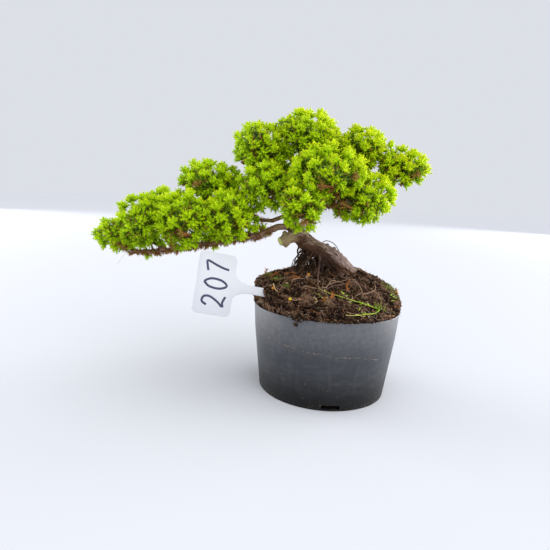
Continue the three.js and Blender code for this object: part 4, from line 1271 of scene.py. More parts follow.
class BONSAI_OT_foliage(bpy.types.Operator):
    """Clothe every spray of the tree in plumes of needles"""

    bl_idname = "bonsai.foliage"
    bl_label = "Grow Foliage"

    def execute(self, context):
        settings = context.scene.bonsai_needles
        needle = needle_shape()
        core = ball_shape(2)
        finish = needle_finish(settings)
        for seed, pad in enumerate(PADS, start=1):
            for k, heap in enumerate(grow_pad(pad, seed, needle, core, settings), start=1):
                node = f"spray_{pad[0]}_{k}"
                piece = heap.piece("leafy_" + node)
                piece.data.shade_smooth()
                finish_piece(piece, finish, [node])
        lines = dict(zip(LIMBS, limb_lines()[2:]))
        for seed, (name, (first, last, spacing, shag)) in enumerate(SPRIGS.items(), start=71):
            path, radii = lines[name]
            part = slice(int(first * len(path)), int(last * len(path)))
            rng = np.random.default_rng(seed)
            heap = grow_sprigs(rng, path[part], radii[part], spacing, needle, settings)
            dry_tones = rng.uniform(0.06, 0.2, shag)
            add_shag(heap, rng, path[part], radii[part], needle, (2.2, 4.2), dry_tones)
            piece = heap.piece(f"sprigs_on_{name}_limb")
            piece.data.shade_smooth()
            finish_piece(piece, finish)
        return {"FINISHED"}


# The wood


def limb_lines():
    """The centre lines of trunk, stub and limbs, with a radius at each point."""
    lines = []
    radii = np.interp(np.linspace(0, 8, 60), range(9), TRUNK["radii"])
    lines.append((smooth_path(TRUNK["path"], 60), radii))
    lines.append((smooth_path(STUB["path"], 16), np.linspace(*STUB["radii"], 16)))
    for name, limb in LIMBS.items():
        end = next(pad for pad in PADS if pad[3] == name and pad[4] == 1)
        heart = np.array(end[1], float) - UP * HEART_DEPTH * end[2][2]
        lines.append((smooth_path([*limb["path"], heart], 50), np.linspace(*limb["radii"], 50)))
    return lines


def along_limbs(points):
    """For each point, how far along its nearest limb it lies, the angle round it, the limb's radius there,
    and how far off its surface the point is."""
    best = np.full(len(points), np.inf)
    along = np.zeros(len(points))
    around = np.zeros(len(points))
    girth = np.ones(len(points))
    for k, (path, radii) in enumerate(limb_lines()):
        _, side, over = frames_along(path)
        run = np.r_[0, np.cumsum(np.linalg.norm(np.diff(path, axis=0), axis=1))]
        for i in range(len(path)):
            away = points - path[i]
            distance = np.linalg.norm(away, axis=1) - radii[i]
            near = distance < best
            best[near] = distance[near]
            near_away = away[near]
            tangent = np.cross(side[i], over[i])
            along[near] = run[i] + near_away @ tangent + LIMB_STEP * k
            around[near] = np.arctan2(near_away @ over[i], near_away @ side[i])
            girth[near] = radii[i]
    return along, around, girth, best


def bark_relief(along, around, girth, roots, relief):
    """Long strips of bark, deeper where the wood is thick, in millimetres."""
    grain = np.column_stack([0.22 * along, np.cos(around) * girth, np.sin(around) * girth])
    strips = 0.5 - np.abs(soft_noise(grain, 5.5, 31))
    threads = 0.5 - np.abs(soft_noise(grain * (1.6, 1, 1), 2.2, 32))
    swells = soft_noise(grain * (2.5, 1, 1), 15, 33)
    flakes = np.maximum(soft_noise(grain * (2, 1, 1), 4, 34) - 0.45, 0)
    depth = relief * np.clip((girth - 1.2) / 8, 0.2, 1) * (1 - 0.85 * roots)
    return depth * (0.7 * strips + 0.35 * threads + 0.8 * swells + 1.1 * flakes)


def bark_finish(settings):
    recipe = Recipe("juniper bark")
    place = recipe.place()
    run = recipe.attribute("bark_run", output=1)
    fibres = recipe.noise(recipe.stretched(run, (0.16, 1.0, 1.0)), 0.9, detail=5, roughness=0.65)
    patches = recipe.noise(place, 9, detail=4, roughness=0.6)
    specks = recipe.noise(place, 1.1, detail=2, roughness=0.5)
    up = recipe.split(recipe.node("ShaderNodeNewGeometry", None, output=1))[2]
    furrow = recipe.attribute("bark_height")
    # Weathered grey bark, with painted light: upward faces and ridges are painted lighter grey, downward
    # faces the darker fresh bark
    weathered_and_lit_top = (up.span(-0.45, 0.6) * 0.8 + patches * 0.7 + furrow * 0.6 - 0.65).span(0.15, 0.9)
    foot = recipe.near(place, PINK_FOOT_AND_LIGHT_ZONE)
    stub = recipe.near(place, STUB_ZONE)
    collar_shag_and_shade = recipe.near(place, COLLAR_SHAG_AND_SHADE_ZONE)
    bark = recipe.ramp(
        fibres,
        (0.25, tuple(0.45 * c for c in settings.young_colour)),
        (0.5, tuple(settings.young_colour)),
        (0.75, (0.2, 0.1, 0.058)),
    )
    grey = recipe.ramp(
        fibres,
        (0.24, tuple(0.3 * c for c in settings.old_colour)),
        (0.5, tuple(settings.old_colour)),
        (0.72, (0.5, 0.41, 0.31)),
    )
    pink = recipe.ramp(
        fibres,
        (0.28, (0.06, 0.03, 0.025)),
        (0.5, (0.21, 0.14, 0.122)),
        (0.7, (0.5, 0.41, 0.39)),
    )
    tan = recipe.ramp(
        fibres,
        (0.25, (0.1, 0.06, 0.025)),
        (0.5, (0.36, 0.27, 0.14)),
        (0.78, (0.55, 0.45, 0.26)),
    )
    # The foot's pinkish bark, painted lighter as the light falls on the trunk's right side
    grey = recipe.mixed(foot * 0.85, grey, pink)
    colour = recipe.mixed(weathered_and_lit_top, bark, grey)
    colour = recipe.mixed(stub * 0.8, colour, tan)
    # The collar: dark loose bark, with painted shade where the foliage shades it
    colour = recipe.mixed(collar_shag_and_shade * 0.7, colour, tuple(0.35 * c for c in settings.young_colour))
    limb = recipe.ramp(
        fibres * 0.6 + specks * 0.4,
        (0.34, (0.1, 0.045, 0.026)),
        (0.5, (0.34, 0.19, 0.11)),
        (0.66, (0.6, 0.42, 0.29)),
    )
    colour = recipe.mixed(recipe.attribute("limb_share") * 0.9, colour, limb)
    root = recipe.ramp(
        fibres,
        (0.25, (0.025, 0.012, 0.009)),
        (0.5, (0.1, 0.05, 0.038)),
        (0.78, (0.2, 0.125, 0.1)),
    )
    colour = recipe.mixed(recipe.attribute("root_share"), colour, root)
    # Painted shade: the underside of the leaning trunk is painted nearly black
    trunk_underside_shade = recipe.near(place, TRUNK_UNDERSIDE_SHADE_ZONE)
    colour = recipe.mixed(trunk_underside_shade * 0.75, colour, (0.018, 0.01, 0.008))
    colour = recipe.mixed((specks > 0.66) * 0.15, colour, (0.35, 0.33, 0.22))
    # Painted shade: the deep furrows of the bark are painted nearly black
    colour = recipe.mixed(furrow.span(0.38, 0.1) * 0.85, colour, (0.02, 0.011, 0.008))
    cut = recipe.attribute("cut_face")
    cut_colour = recipe.ramp(specks, (0.3, (0.46, 0.46, 0.11)), (0.7, (0.7, 0.67, 0.25)))
    colour = recipe.mixed(cut, colour, cut_colour)
    height = fibres * 0.8 + specks * 0.2
    return recipe.surface(
        Base_Color=colour,
        Roughness=0.82 - 0.15 * cut,
        Specular_IOR_Level=0.12,
        Normal=recipe.bump(height, 0.9, 0.8),
    )


class BONSAI_OT_wood(bpy.types.Operator):
    """Cover the trunk, limbs and roots in fibrous bark"""

    bl_idname = "bonsai.wood"
    bl_label = "Grow Bark"

    def execute(self, context):
        settings = context.scene.bonsai_wood
        piece = copy_of_solid("wood", "bark_and_roots")
        shape_with(piece, "REMESH", mode="VOXEL", voxel_size=settings.grain * MM, adaptivity=0.0)
        shape_with(piece, "SMOOTH", factor=0.5, iterations=3)
        points, normals = points_of(piece)
        along, around, girth, off = along_limbs(points)
        roots = np.clip((off - ROOT_OFF) / ROOT_OFF, 0, 1) * (points[:, 2] < ROOTS_BELOW)
        height = bark_relief(along, around, girth, roots, settings.trunk_relief)
        stub_end = np.array(STUB["path"][-1], float)
        stub_way = unit(stub_end - np.array(STUB["path"][-2], float))
        from_cut = np.linalg.norm(points - stub_end, axis=1)
        past_end = (points - stub_end) @ stub_way
        at_cut = (past_end > -CUT_FACE["depth"]) & (from_cut < CUT_FACE["radius"])
        slim = STUB_SLIM * np.exp(-((from_cut / STUB_SLIM_REACH) ** 2))
        knobs = np.zeros(len(points))
        for place, radius, rise in KNOBS:
            knobs += rise * np.exp(-((np.linalg.norm(points - place, axis=1) / radius) ** 2))
        put_points(piece, points + normals * np.where(at_cut, 0.0, height + knobs - slim)[:, None])
        run = np.column_stack([along, np.cos(around) * girth, np.sin(around) * girth]) * MM
        store(piece, "bark_run", run)
        store(piece, "bark_height", np.clip(0.5 + height / (1.6 * settings.trunk_relief), 0, 1))
        store(piece, "cut_face", at_cut)
        store(piece, "root_share", roots)
        limb_share = np.clip((LIMB_RADIUS - girth) / LIMB_BLEND, 0, 1) * (1 - roots)
        store(piece, "limb_share", limb_share)
        piece.data.shade_smooth()
        finish_piece(piece, bark_finish(settings), ["wood"])
        return {"FINISHED"}


def fine_roots(rng, ground):
    """The fringe under the trunk, the lone roots in the air, those on the soil, and the pale strands."""
    heap = Heap()
    trunk, girth = limb_lines()[0]
    for _ in range(FRINGE["count"]):
        k = int(rng.uniform(FRINGE["first"], FRINGE["last"]) * len(trunk))
        sideways = rng.normal(0, 0.45)
        start = trunk[k] + girth[k] * 0.9 * unit(np.array([-0.5, sideways, -1.0]))
        end, _ = ground.below(start[0] + rng.normal(-7, 7), start[1] + rng.normal(0, 9))
        bow = (start + end) / 2 + np.array([rng.normal(-2, 2.5), rng.normal(0, 3), rng.normal(0, 2)])
        wiggle = rng.normal(0, 0.7, (7, 3))
        wiggle[0] = 0
        path = smooth_path([start, bow, end - UP * 1.5], 7) + wiggle
        thick = rng.choice((0.25, 0.35, 0.5, 0.8), p=(0.4, 0.3, 0.2, 0.1))
        heap.add_tube(path, np.linspace(thick, 0.6 * thick, 7), 4, rng.uniform(0.03, 0.31))
    for places, radius, tone in AIR_ROOTS:
        heap.add_tube(smooth_path(places, 18), np.linspace(radius, 0.8 * radius, 18), 6, tone)
    for places, radius, tone in GROUND_ROOTS:
        path = smooth_path([ground.below(x, y)[0] for x, y in places], 22)
        rise = 0.9 * radius + 0.5 + 0.4 * np.sin(np.linspace(0, 9, 22))
        rise[[0, -1]] = -radius
        path = np.array([ground.nearest(place)[0] for place in path]) + UP * rise[:, None]
        heap.add_tube(path, radius * np.linspace(1, 0.6, 22), 6, tone)
    for places in STRANDS:
        heap.add_tube(smooth_path(places, 12), STRAND_RADIUS, 3, tone_of("pale chip"))
    for _ in range(LOOSE_ROOTS):
        place, _ = ground.below(*rng.normal((0, -4), (30, 24)))
        path = ground.trail(rng, place, unit(rng.normal(size=3)), rng.uniform(12, 36), 12, 0.35, 0.3)
        heap.add_tube(path, rng.uniform(0.25, 0.5) * np.linspace(1, 0.6, 12), 4, rng.uniform(0.2, 0.4))
    return heap


class BONSAI_OT_roots(bpy.types.Operator):
    """Hang and lay the fine roots"""

    bl_idname = "bonsai.roots"
    bl_label = "Lay Fine Roots"

    def execute(self, context):
        settings = context.scene.bonsai_roots
        ground = Ground(bpy.data.objects["peat"])
        piece = fine_roots(np.random.default_rng(settings.seed), ground).piece("fine_roots")
        piece.data.shade_smooth()
        finish_piece(piece, litter_finish())
        return {"FINISHED"}


# The soil


class Ground:
    """The shown top of the soil, to strew things over."""

    def __init__(self, piece):
        points, _ = points_of(piece)
        piece.data.calc_loop_triangles()
        triangles = np.array([t.vertices[:] for t in piece.data.loop_triangles])
        self.tree = BVHTree.FromPolygons(points.tolist(), triangles.tolist())
        self.corners = points[triangles]
        cross = np.cross(self.corners[:, 1] - self.corners[:, 0], self.corners[:, 2] - self.corners[:, 0])
        area = np.linalg.norm(cross, axis=1)
        self.normals = cross / np.maximum(area, 1e-9)[:, None]
        chances = area * (self.corners[:, :, 2].mean(axis=1) > RIM_HEIGHT)
        self.chances = chances / chances.sum()

    def scatter(self, rng, count):
        """Places spread evenly over the soil, and the normals there."""
        picks = rng.choice(len(self.chances), count, p=self.chances)
        share = rng.dirichlet((1, 1, 1), count)
        return np.einsum("nk,nkj->nj", share, self.corners[picks]), self.normals[picks]

    def nearest(self, point):
        """The nearest place on the soil, and the normal there."""
        place, normal, _, _ = self.tree.find_nearest(Vector(point))
        return np.array(place), np.array(normal)

    def below(self, x, y):
        """The place on the soil at x and y, and the normal there."""
        place, normal, _, _ = self.tree.ray_cast(Vector((x, y, 200)), Vector((0, 0, -1)))
        return (np.array(place), np.array(normal)) if place else self.nearest((x, y, RIM_HEIGHT + 10))

    def trail(self, rng, place, heading, length, count, lift, wander=0.35):
        """A winding path over the soil."""
        path = []
        for _ in range(count):
            place, normal = self.nearest(place)
            path.append(place + normal * lift)
            heading = unit(heading - normal * float(heading @ normal) + rng.normal(0, wander, 3))
            place = place + heading * length / (count - 1)
        return np.array(path)


def soil_finish(settings):
    recipe = Recipe("peat soil")
    place = recipe.place()
    relief = recipe.attribute("peat_height")
    lumps = recipe.noise(place, 6, detail=5, roughness=0.7)
    grains = recipe.noise(place, 1.2, detail=4, roughness=0.75)
    fibres = recipe.noise(recipe.stretched(place, (1.0, 0.25, 0.5)), 0.8, detail=3, roughness=0.6)
    dark = tuple(settings.dark_colour)
    shade = relief * 0.4 + grains * 0.35 + lumps * 0.25
    colour = recipe.ramp(
        shade,
        (0.43, dark),
        (0.53, tuple(settings.colour)),
        (0.65, tuple(settings.light_colour)),
    )
    colour = recipe.mixed((fibres > 0.62) * 0.6, colour, (0.2, 0.08, 0.035))
    # Painted shadow: the soil under the leaning trunk is painted as dark as the wet peat
    colour = recipe.mixed(recipe.near(place, SOIL_SHADOW_UNDER_TRUNK) * 0.85, colour, dark)
    green = recipe.noise(place, 16, detail=3, roughness=0.6)
    colour = recipe.mixed(green.span(0.6, 0.72) * (grains > 0.5) * 0.4, colour, (0.08, 0.1, 0.015))
    height = recipe.split(place)[2]
    colour = recipe.mixed((height < DARK_BELOW * MM) * 1.0, colour, dark)
    return recipe.surface(
        Base_Color=colour,
        Roughness=0.95,
        Specular_IOR_Level=0.05,
        Normal=recipe.bump(grains * 0.6 + fibres * 0.4, 1.2, 0.9),
    )


class BONSAI_OT_soil(bpy.types.Operator):
    """Roughen the root ball into fibrous peat"""

    bl_idname = "bonsai.soil"
    bl_label = "Roughen Soil"

    def execute(self, context):
        settings = context.scene.bonsai_soil
        piece = copy_of_solid("soil", "peat")
        shape_with(piece, "REMESH", mode="VOXEL", voxel_size=settings.grain * MM, adaptivity=0.0)
        self.thin_out(piece)
        points, normals = points_of(piece)
        coarse = soft_noise(points, 15, 1)
        medium = soft_noise(points, 6.5, 2)
        fine = soft_noise(points, 2.8, 3)
        lumps = 0.45 * coarse + 0.6 * (0.5 - np.abs(medium)) + 0.5 * (0.5 - np.abs(fine)) - 0.1
        shown = np.clip((points[:, 2] - RIM_HEIGHT) / 2.5, 0, 1)
        points += normals * (settings.relief * lumps * shown)[:, None]
        for middle, reach, rise in FOOT_HEAPS:
            away = np.linalg.norm(points[:, :2] - middle, axis=1)
            points[:, 2] += shown * rise * np.exp(-((away / reach) ** 2))
        put_points(piece, points)
        store(piece, "peat_height", np.clip(0.5 + 0.6 * lumps, 0, 1))
        piece.data.shade_smooth()
        finish_piece(piece, soil_finish(settings), ["soil"])
        return {"FINISHED"}

    @staticmethod
    def thin_out(piece):
        """Leave few faces where the pot hides the soil."""
        points, _ = points_of(piece)
        hidden = np.flatnonzero(points[:, 2] < RIM_HEIGHT - 3)
        group = piece.vertex_groups.new(name="hidden")
        group.add(hidden.tolist(), 1.0, "REPLACE")
        kept = 1 - HIDDEN_CUT * len(hidden) / len(points)
        shape_with(piece, "DECIMATE", ratio=kept, vertex_group="hidden")
        piece.vertex_groups.clear()


# What lies on the soil


def tone_of(kind):
    """The tone of a kind of litter."""
    return LITTER[kind][0]


def litter_finish():
    """One colour for each kind of thing, chosen by its tone."""
    recipe = Recipe("litter")
    place = recipe.place()
    _, tone = recipe.own_map()
    grains = recipe.noise(place, 0.9, detail=3, roughness=0.7)
    colour = recipe.ramp(tone, *sorted(LITTER.values()))
    colour = recipe.mixed(grains.span(0.35, 0.65) * 0.45, colour, (0.0, 0.0, 0.0))
    return recipe.surface(Base_Color=colour, Roughness=0.9, Specular_IOR_Level=0.08)


def random_turns(rng, count):
    """Rotation matrices, evenly spread."""
    quaternions = unit(rng.normal(size=(count, 4)))
    return np.array([Quaternion(q).to_matrix() for q in quaternions])


def wall_radius(height):
    """The radius of the pot's outside at a height, in millimetres."""
    pot = bpy.context.scene.bonsai_pot
    heights = (0, pot.knee_height, pot.height)
    return np.interp(height, heights, (pot.foot_radius, pot.knee_radius, pot.rim_radius))


def strew_crumbs(rng, ground, count):
    """Crumbs of peat, in three shapes, and those stuck to the rim."""
    heap = Heap()
    for seed in range(3):
        shape = ball_shape(1, 0.35, seed)
        places, normals = ground.scatter(rng, count // 3)
        sizes = np.clip(rng.lognormal(-0.35, 0.45, len(places)), 0.3, 2.2)
        stretch = rng.uniform(0.55, 1.0, (len(places), 1, 3))
        matrices = random_turns(rng, len(places)) * stretch * sizes[:, None, None]
        light = rng.random(len(places)) > 0.84
        tones = np.where(light, rng.uniform(0.3, 0.45, len(places)), 0.26 * rng.random(len(places)) ** 1.6)
        heap.add_copies(shape, matrices, places + normals * (0.25 * sizes)[:, None], tones)
    shape = ball_shape(1, 0.35, 5)
    for angle, stuck, spread, drop in RIM_DIRT:
        angles = np.radians(angle + rng.normal(0, spread, stuck))
        heights = RIM_HEIGHT + 1.5 - drop * rng.random(stuck) ** 1.5
        out = wall_radius(heights) + rng.uniform(0.1, 0.9, stuck)
        places = np.column_stack([out * np.cos(angles), out * np.sin(angles), heights])
        matrices = random_turns(rng, stuck) * rng.uniform(0.4, 1.4, stuck)[:, None, None]
        heap.add_copies(shape, matrices, places, rng.uniform(0.0, 0.3, stuck))
    return heap


def strew_fibres(rng, ground, needle, counts):
    """Root fibres, straws, dead needles and dead sprigs."""
    heap = Heap()
    places, _ = ground.scatter(rng, counts["fibres"])
    for place in places:
        tone = rng.choice(FIBRE_TONES)
        size = 0.6 if tone > tone_of("pellet") else 1.0
        path = ground.trail(rng, place, unit(rng.normal(size=3)), size * rng.uniform(2.5, 9), 3, 0.3, 0.5)
        if rng.random() < 0.3:
            path[-1] += UP * min(rng.exponential(1.2), 6)
        heap.add_tube(path, size * rng.uniform(0.11, 0.26) * np.array([1, 1, 0.6]), 3, tone)
    for x, y, way, length, thickness, kind in STICKS:
        heading = level_way(way)
        path = ground.trail(rng, ground.below(x, y)[0], heading, length, 6, 1.1, 0.12)
        heap.add_tube(path, np.linspace(thickness, 0.6 * thickness, 6), 5, tone_of(kind))
    places, normals = ground.scatter(rng, counts["needles"])
    ways = unit(rng.normal(size=(len(places), 3)) * (1, 1, 0.25))
    matrices = pointing(ways, 0.8, rng.uniform(3, 5.5, (len(places), 1)))
    heap.add_copies(needle, matrices, places + normals * 0.5, rng.choice(FIBRE_TONES, len(places)))
    for x, y, way, length, rise in DEAD_SPRIGS:
        heading = level_way(way) + 0.2 * UP
        path = ground.trail(rng, ground.below(x, y)[0], heading, length, 8, 1.4, 0.2)
        path += UP * rise * np.linspace(0, 1, 8)[:, None] ** 2
        heap.add_tube(path, np.linspace(0.7, 0.4, 8), 4, tone_of("dead sprig"))
        tangent, side, over = frames_along(path)
        for turn in np.arange(3) * 2 * math.pi / 3:
            out = side * math.cos(turn) + over * math.sin(turn)
            ways = unit(0.8 * tangent + out + rng.normal(0, 0.25, out.shape))
            width = unit(np.cross(ways, tangent))
            depth = np.cross(ways, width)
            length = rng.uniform(2.5, 4, (8, 1))
            matrices = np.stack([width * 1.2, depth * 1.2, ways * length], -1)
            tones = tone_of("dead sprig") + rng.uniform(-0.03, 0.03, 8)
            heap.add_copies(needle, matrices, path, tones)
    return heap


def strew_moss(rng, ground, needle):
    """Cushions of moss."""
    heap = Heap()
    for x, y, radius, kind in MOSS:
        count = int(6 * radius**2)
        away = radius * rng.normal(0, 0.5, (count, 2))
        for dx, dy in away:
            place, normal = ground.below(x + dx, y + dy)
            way = unit(normal + rng.normal(0, 0.45, 3))
            matrices = pointing(way[None], 0.8, rng.uniform(1.1, 2.3))
            heap.add_one(needle, matrices, place, tone_of(kind) + rng.uniform(-0.02, 0.02))
    return heap


def strew_pellets(ground):
    """Round pellets of plant feed."""
    heap = Heap()
    shape = ball_shape(2, 0.06, 8)
    for x, y, radius, kind in PELLETS:
        place, normal = ground.below(x, y)
        heap.add_one(shape, radius * np.eye(3)[None], place + 0.7 * radius * normal, tone_of(kind))
    return heap


class BONSAI_OT_litter(bpy.types.Operator):
    """Strew crumbs, fibres, dead needles, moss and pellets over the soil"""

    bl_idname = "bonsai.litter"
    bl_label = "Strew Litter"

    def execute(self, context):
        settings = context.scene.bonsai_litter
        rng = np.random.default_rng(settings.seed)
        ground = Ground(bpy.data.objects["peat"])
        needle = needle_shape()
        finish = litter_finish()
        counts = {"fibres": settings.fibres, "needles": settings.needles}
        for name, slot, heap in (
            ("peat_crumbs", "earth", strew_crumbs(rng, ground, settings.crumbs)),
            ("fibres_and_dead_sprigs", "earth", strew_fibres(rng, ground, needle, counts)),
            ("moss", "weed_green", strew_moss(rng, ground, needle)),
            ("feed_pellets", "earth", strew_pellets(ground)),
        ):
            piece = heap.piece(name)
            if name == "feed_pellets":
                piece.data.shade_smooth()
            finish_piece(piece, finish)
        return {"FINISHED"}


# The weed


def leaf_shape():
    """A leaf one unit long and wide, pointed at both ends and slightly cupped."""
    deselect_all()
    bpy.ops.mesh.primitive_uv_sphere_add(segments=4, ring_count=2, radius=0.5)
    model = bpy.context.object
    shape_with(model, "TRIANGULATE")
    points, triangles = take_mesh(model)
    points[:, 1] *= 0.25
    points[:, 2] += 0.5
    points[:, 1] += 0.25 * points[:, 2] ** 2
    return Shape(points, triangles, points[triangles][:, :, 2])


def weed_finish(settings):
    recipe = Recipe("weed")
    along, tone = recipe.own_map()
    colour = recipe.ramp(
        tone,
        (0.0, (0.42, 0.25, 0.1)),
        (0.3, (0.6, 0.48, 0.2)),
        (0.5, (0.45, 0.5, 0.05)),
        (1.0, tuple(settings.colour)),
    )
    colour = recipe.mixed(along.span(0.3, 1.0) * 0.3, colour, (0.5, 0.62, 0.1))
    return recipe.surface(Base_Color=colour, Roughness=0.5, Specular_IOR_Level=0.3)


class BONSAI_OT_weed(bpy.types.Operator):
    """Lay the weed's runners on the soil"""

    bl_idname = "bonsai.weed"
    bl_label = "Grow Weed"

    def execute(self, context):
        settings = context.scene.bonsai_weed
        rng = np.random.default_rng(settings.seed)
        ground = Ground(bpy.data.objects["peat"])
        leaf = leaf_shape()
        heap = Heap()
        for places in WEED_RUNNERS:
            feet = [ground.below(x, y)[0] + UP * 1.5 for x, y in places]
            path = smooth_path(feet, 24)
            share = np.linspace(1, 0, 24)
            tones = np.clip(0.15 + 1.1 * share, 0, 1)
            heap.add_tube(path, 0.26 + 0.22 * share, 5, tones)
            tangent, side, over = frames_along(path)
            for j in range(1, 24):
                for hand in (-1, 1):
                    if rng.random() < settings.bareness:
                        continue
                    way = unit(0.8 * tangent[j] + hand * side[j] + rng.uniform(0.2, 1.0) * UP)
                    self.add_leaf(heap, leaf, path[j], way, rng.uniform(2.0, 4.2), 1.2, tones[j])
        crown = ground.below(*WEED_RUNNERS[0][0])[0]
        for _ in range(settings.crown_leaves):
            way = unit(np.array([rng.normal(0, 0.3), rng.normal(0, 0.3), 1.0]))
            place = crown + np.array([rng.normal(0, 2.6), rng.normal(0, 1.6), 0.2])
            self.add_leaf(heap, leaf, place, way, rng.uniform(5, 11), 1.25, rng.uniform(0.7, 1))
        for x, y, count, length, tone in WEED_TUFTS:
            for _ in range(count):
                place = ground.below(x + rng.normal(0, 1.2), y + rng.normal(0, 1.2))[0]
                way = unit(np.array([rng.normal(0, 0.9), rng.normal(0, 0.9), 0.7]))
                self.add_leaf(heap, leaf, place, way, length * rng.uniform(0.6, 1.1), 0.45 * length, tone)
        piece = heap.piece("weed_runners")
        piece.data.shade_smooth()
        finish_piece(piece, weed_finish(settings), ["weed"])
        return {"FINISHED"}

    @staticmethod
    def add_leaf(heap, leaf, place, way, length, width, tone):
        heap.add_one(leaf, pointing(way[None], width, length), place, tone)


# The pot


def pot_finish(settings):
    recipe = Recipe("black nursery plastic")
    place = recipe.place()
    height = recipe.split(place)[2]
    scuffs = recipe.noise(recipe.stretched(place, (1.0, 1.0, 3.0)), 14, detail=6, roughness=0.65)
    dust = recipe.noise(place, 3.2, detail=4, roughness=0.6)
    streaks = recipe.noise(recipe.stretched(place, (1.0, 1.0, 0.06)), 3.5, detail=3, roughness=0.6)
    # Painted reflection: the pot's foot is painted near black, as the dark stand under it would show in the
    # glossy plastic; high is the part above it
    high = (height + 0.012 * scuffs).span(0.012, 0.048)
    top = (height + 0.01 * dust).span(0.045, 0.088)
    painted_foot_reflection = tuple(0.04 * c for c in settings.colour)
    colour = recipe.mixed(high, painted_foot_reflection, tuple(settings.colour))
    colour = recipe.mixed(scuffs.span(0.4, 0.75) * high * 0.3, colour, (0.085, 0.088, 0.1))
    colour = recipe.mixed(streaks.span(0.5, 0.8) * high * 0.25, colour, (0.1, 0.1, 0.11))
    colour = recipe.mixed(dust.span(0.6, 0.78) * 0.25, colour, (0.16, 0.14, 0.12))
    # Chalky dust and painted sheen: the pot is painted a lighter bluish grey in patches towards the rim
    colour = recipe.mixed(top * (0.25 + 0.5 * dust), colour, (0.17, 0.172, 0.185))
    rough = 0.34 + 0.12 * scuffs + 0.1 * dust + 0.2 * (1 - high)
    return recipe.surface(
        Base_Color=colour, Roughness=rough, Specular_IOR_Level=0.36, Normal=recipe.bump(scuffs, 0.12, 0.35)
    )


def on_wall(angle, height, proud=0.0):
    """A place on the pot's outside, from an angle in degrees and a height."""
    out = wall_radius(height) + proud
    turn = np.radians(angle)
    return np.stack([out * np.cos(turn), out * np.sin(turn), np.asarray(height, float)], -1)


def pot_marks(rng):
    """Flakes of lime in a broken tide mark, specks of dirt, a pale chip and a scratch."""
    heap = Heap()
    flake = ball_shape(1, 0.3, 11)
    angles, heights = zip(*TIDE_MARK)
    middles = rng.uniform(angles[0], angles[-1], 44)
    angle = np.concatenate([middle + rng.normal(0, 0.8, rng.integers(1, 9)) for middle in middles])
    height = np.interp(angle, angles, heights) + rng.normal(0, 0.5, len(angle))
    kind = rng.choice((tone_of("dust"), tone_of("straw"), tone_of("pale chip")), len(angle))
    count = SPECKS["count"]
    angle = np.r_[angle, rng.uniform(-180, 180, count), CHIP["angle"]]
    low = rng.random(count) < SPECKS["low_share"]
    speck_height = np.where(low, 0.8 + rng.exponential(2.2, count), rng.uniform(5, 80, count))
    height = np.r_[height, speck_height, CHIP["height"]]
    kind = np.r_[kind, rng.choice(SPECKS["tones"], count), tone_of("pale chip")]
    places = on_wall(angle, height)
    turn = np.radians(angle)
    out = np.stack([np.cos(turn), np.sin(turn), np.zeros(len(turn))], -1)
    side = np.cross(UP, out)
    wide = rng.uniform(0.1, 0.36, (len(angle), 1))
    tall = rng.uniform(0.08, 0.2, (len(angle), 1))
    tall[-1] = CHIP["tall"]
    matrices = np.stack([out * 0.08, side * wide, UP * tall], -1)
    heap.add_copies(flake, matrices, places, kind)
    (angle_a, height_a), (angle_b, height_b) = SCRATCH
    line = on_wall(np.linspace(angle_a, angle_b, 24), np.linspace(height_a, height_b, 24), 0.02)
    heap.add_tube(line, 0.11, 3, tone_of("dust"))
    turns = np.linspace(angles[0], angles[-1], 120)
    line = on_wall(turns, np.interp(turns, angles, heights) + rng.normal(0, 0.15, len(turns)), 0.0)
    heap.add_tube(line, 0.09, 3, tone_of("dust"))
    return heap


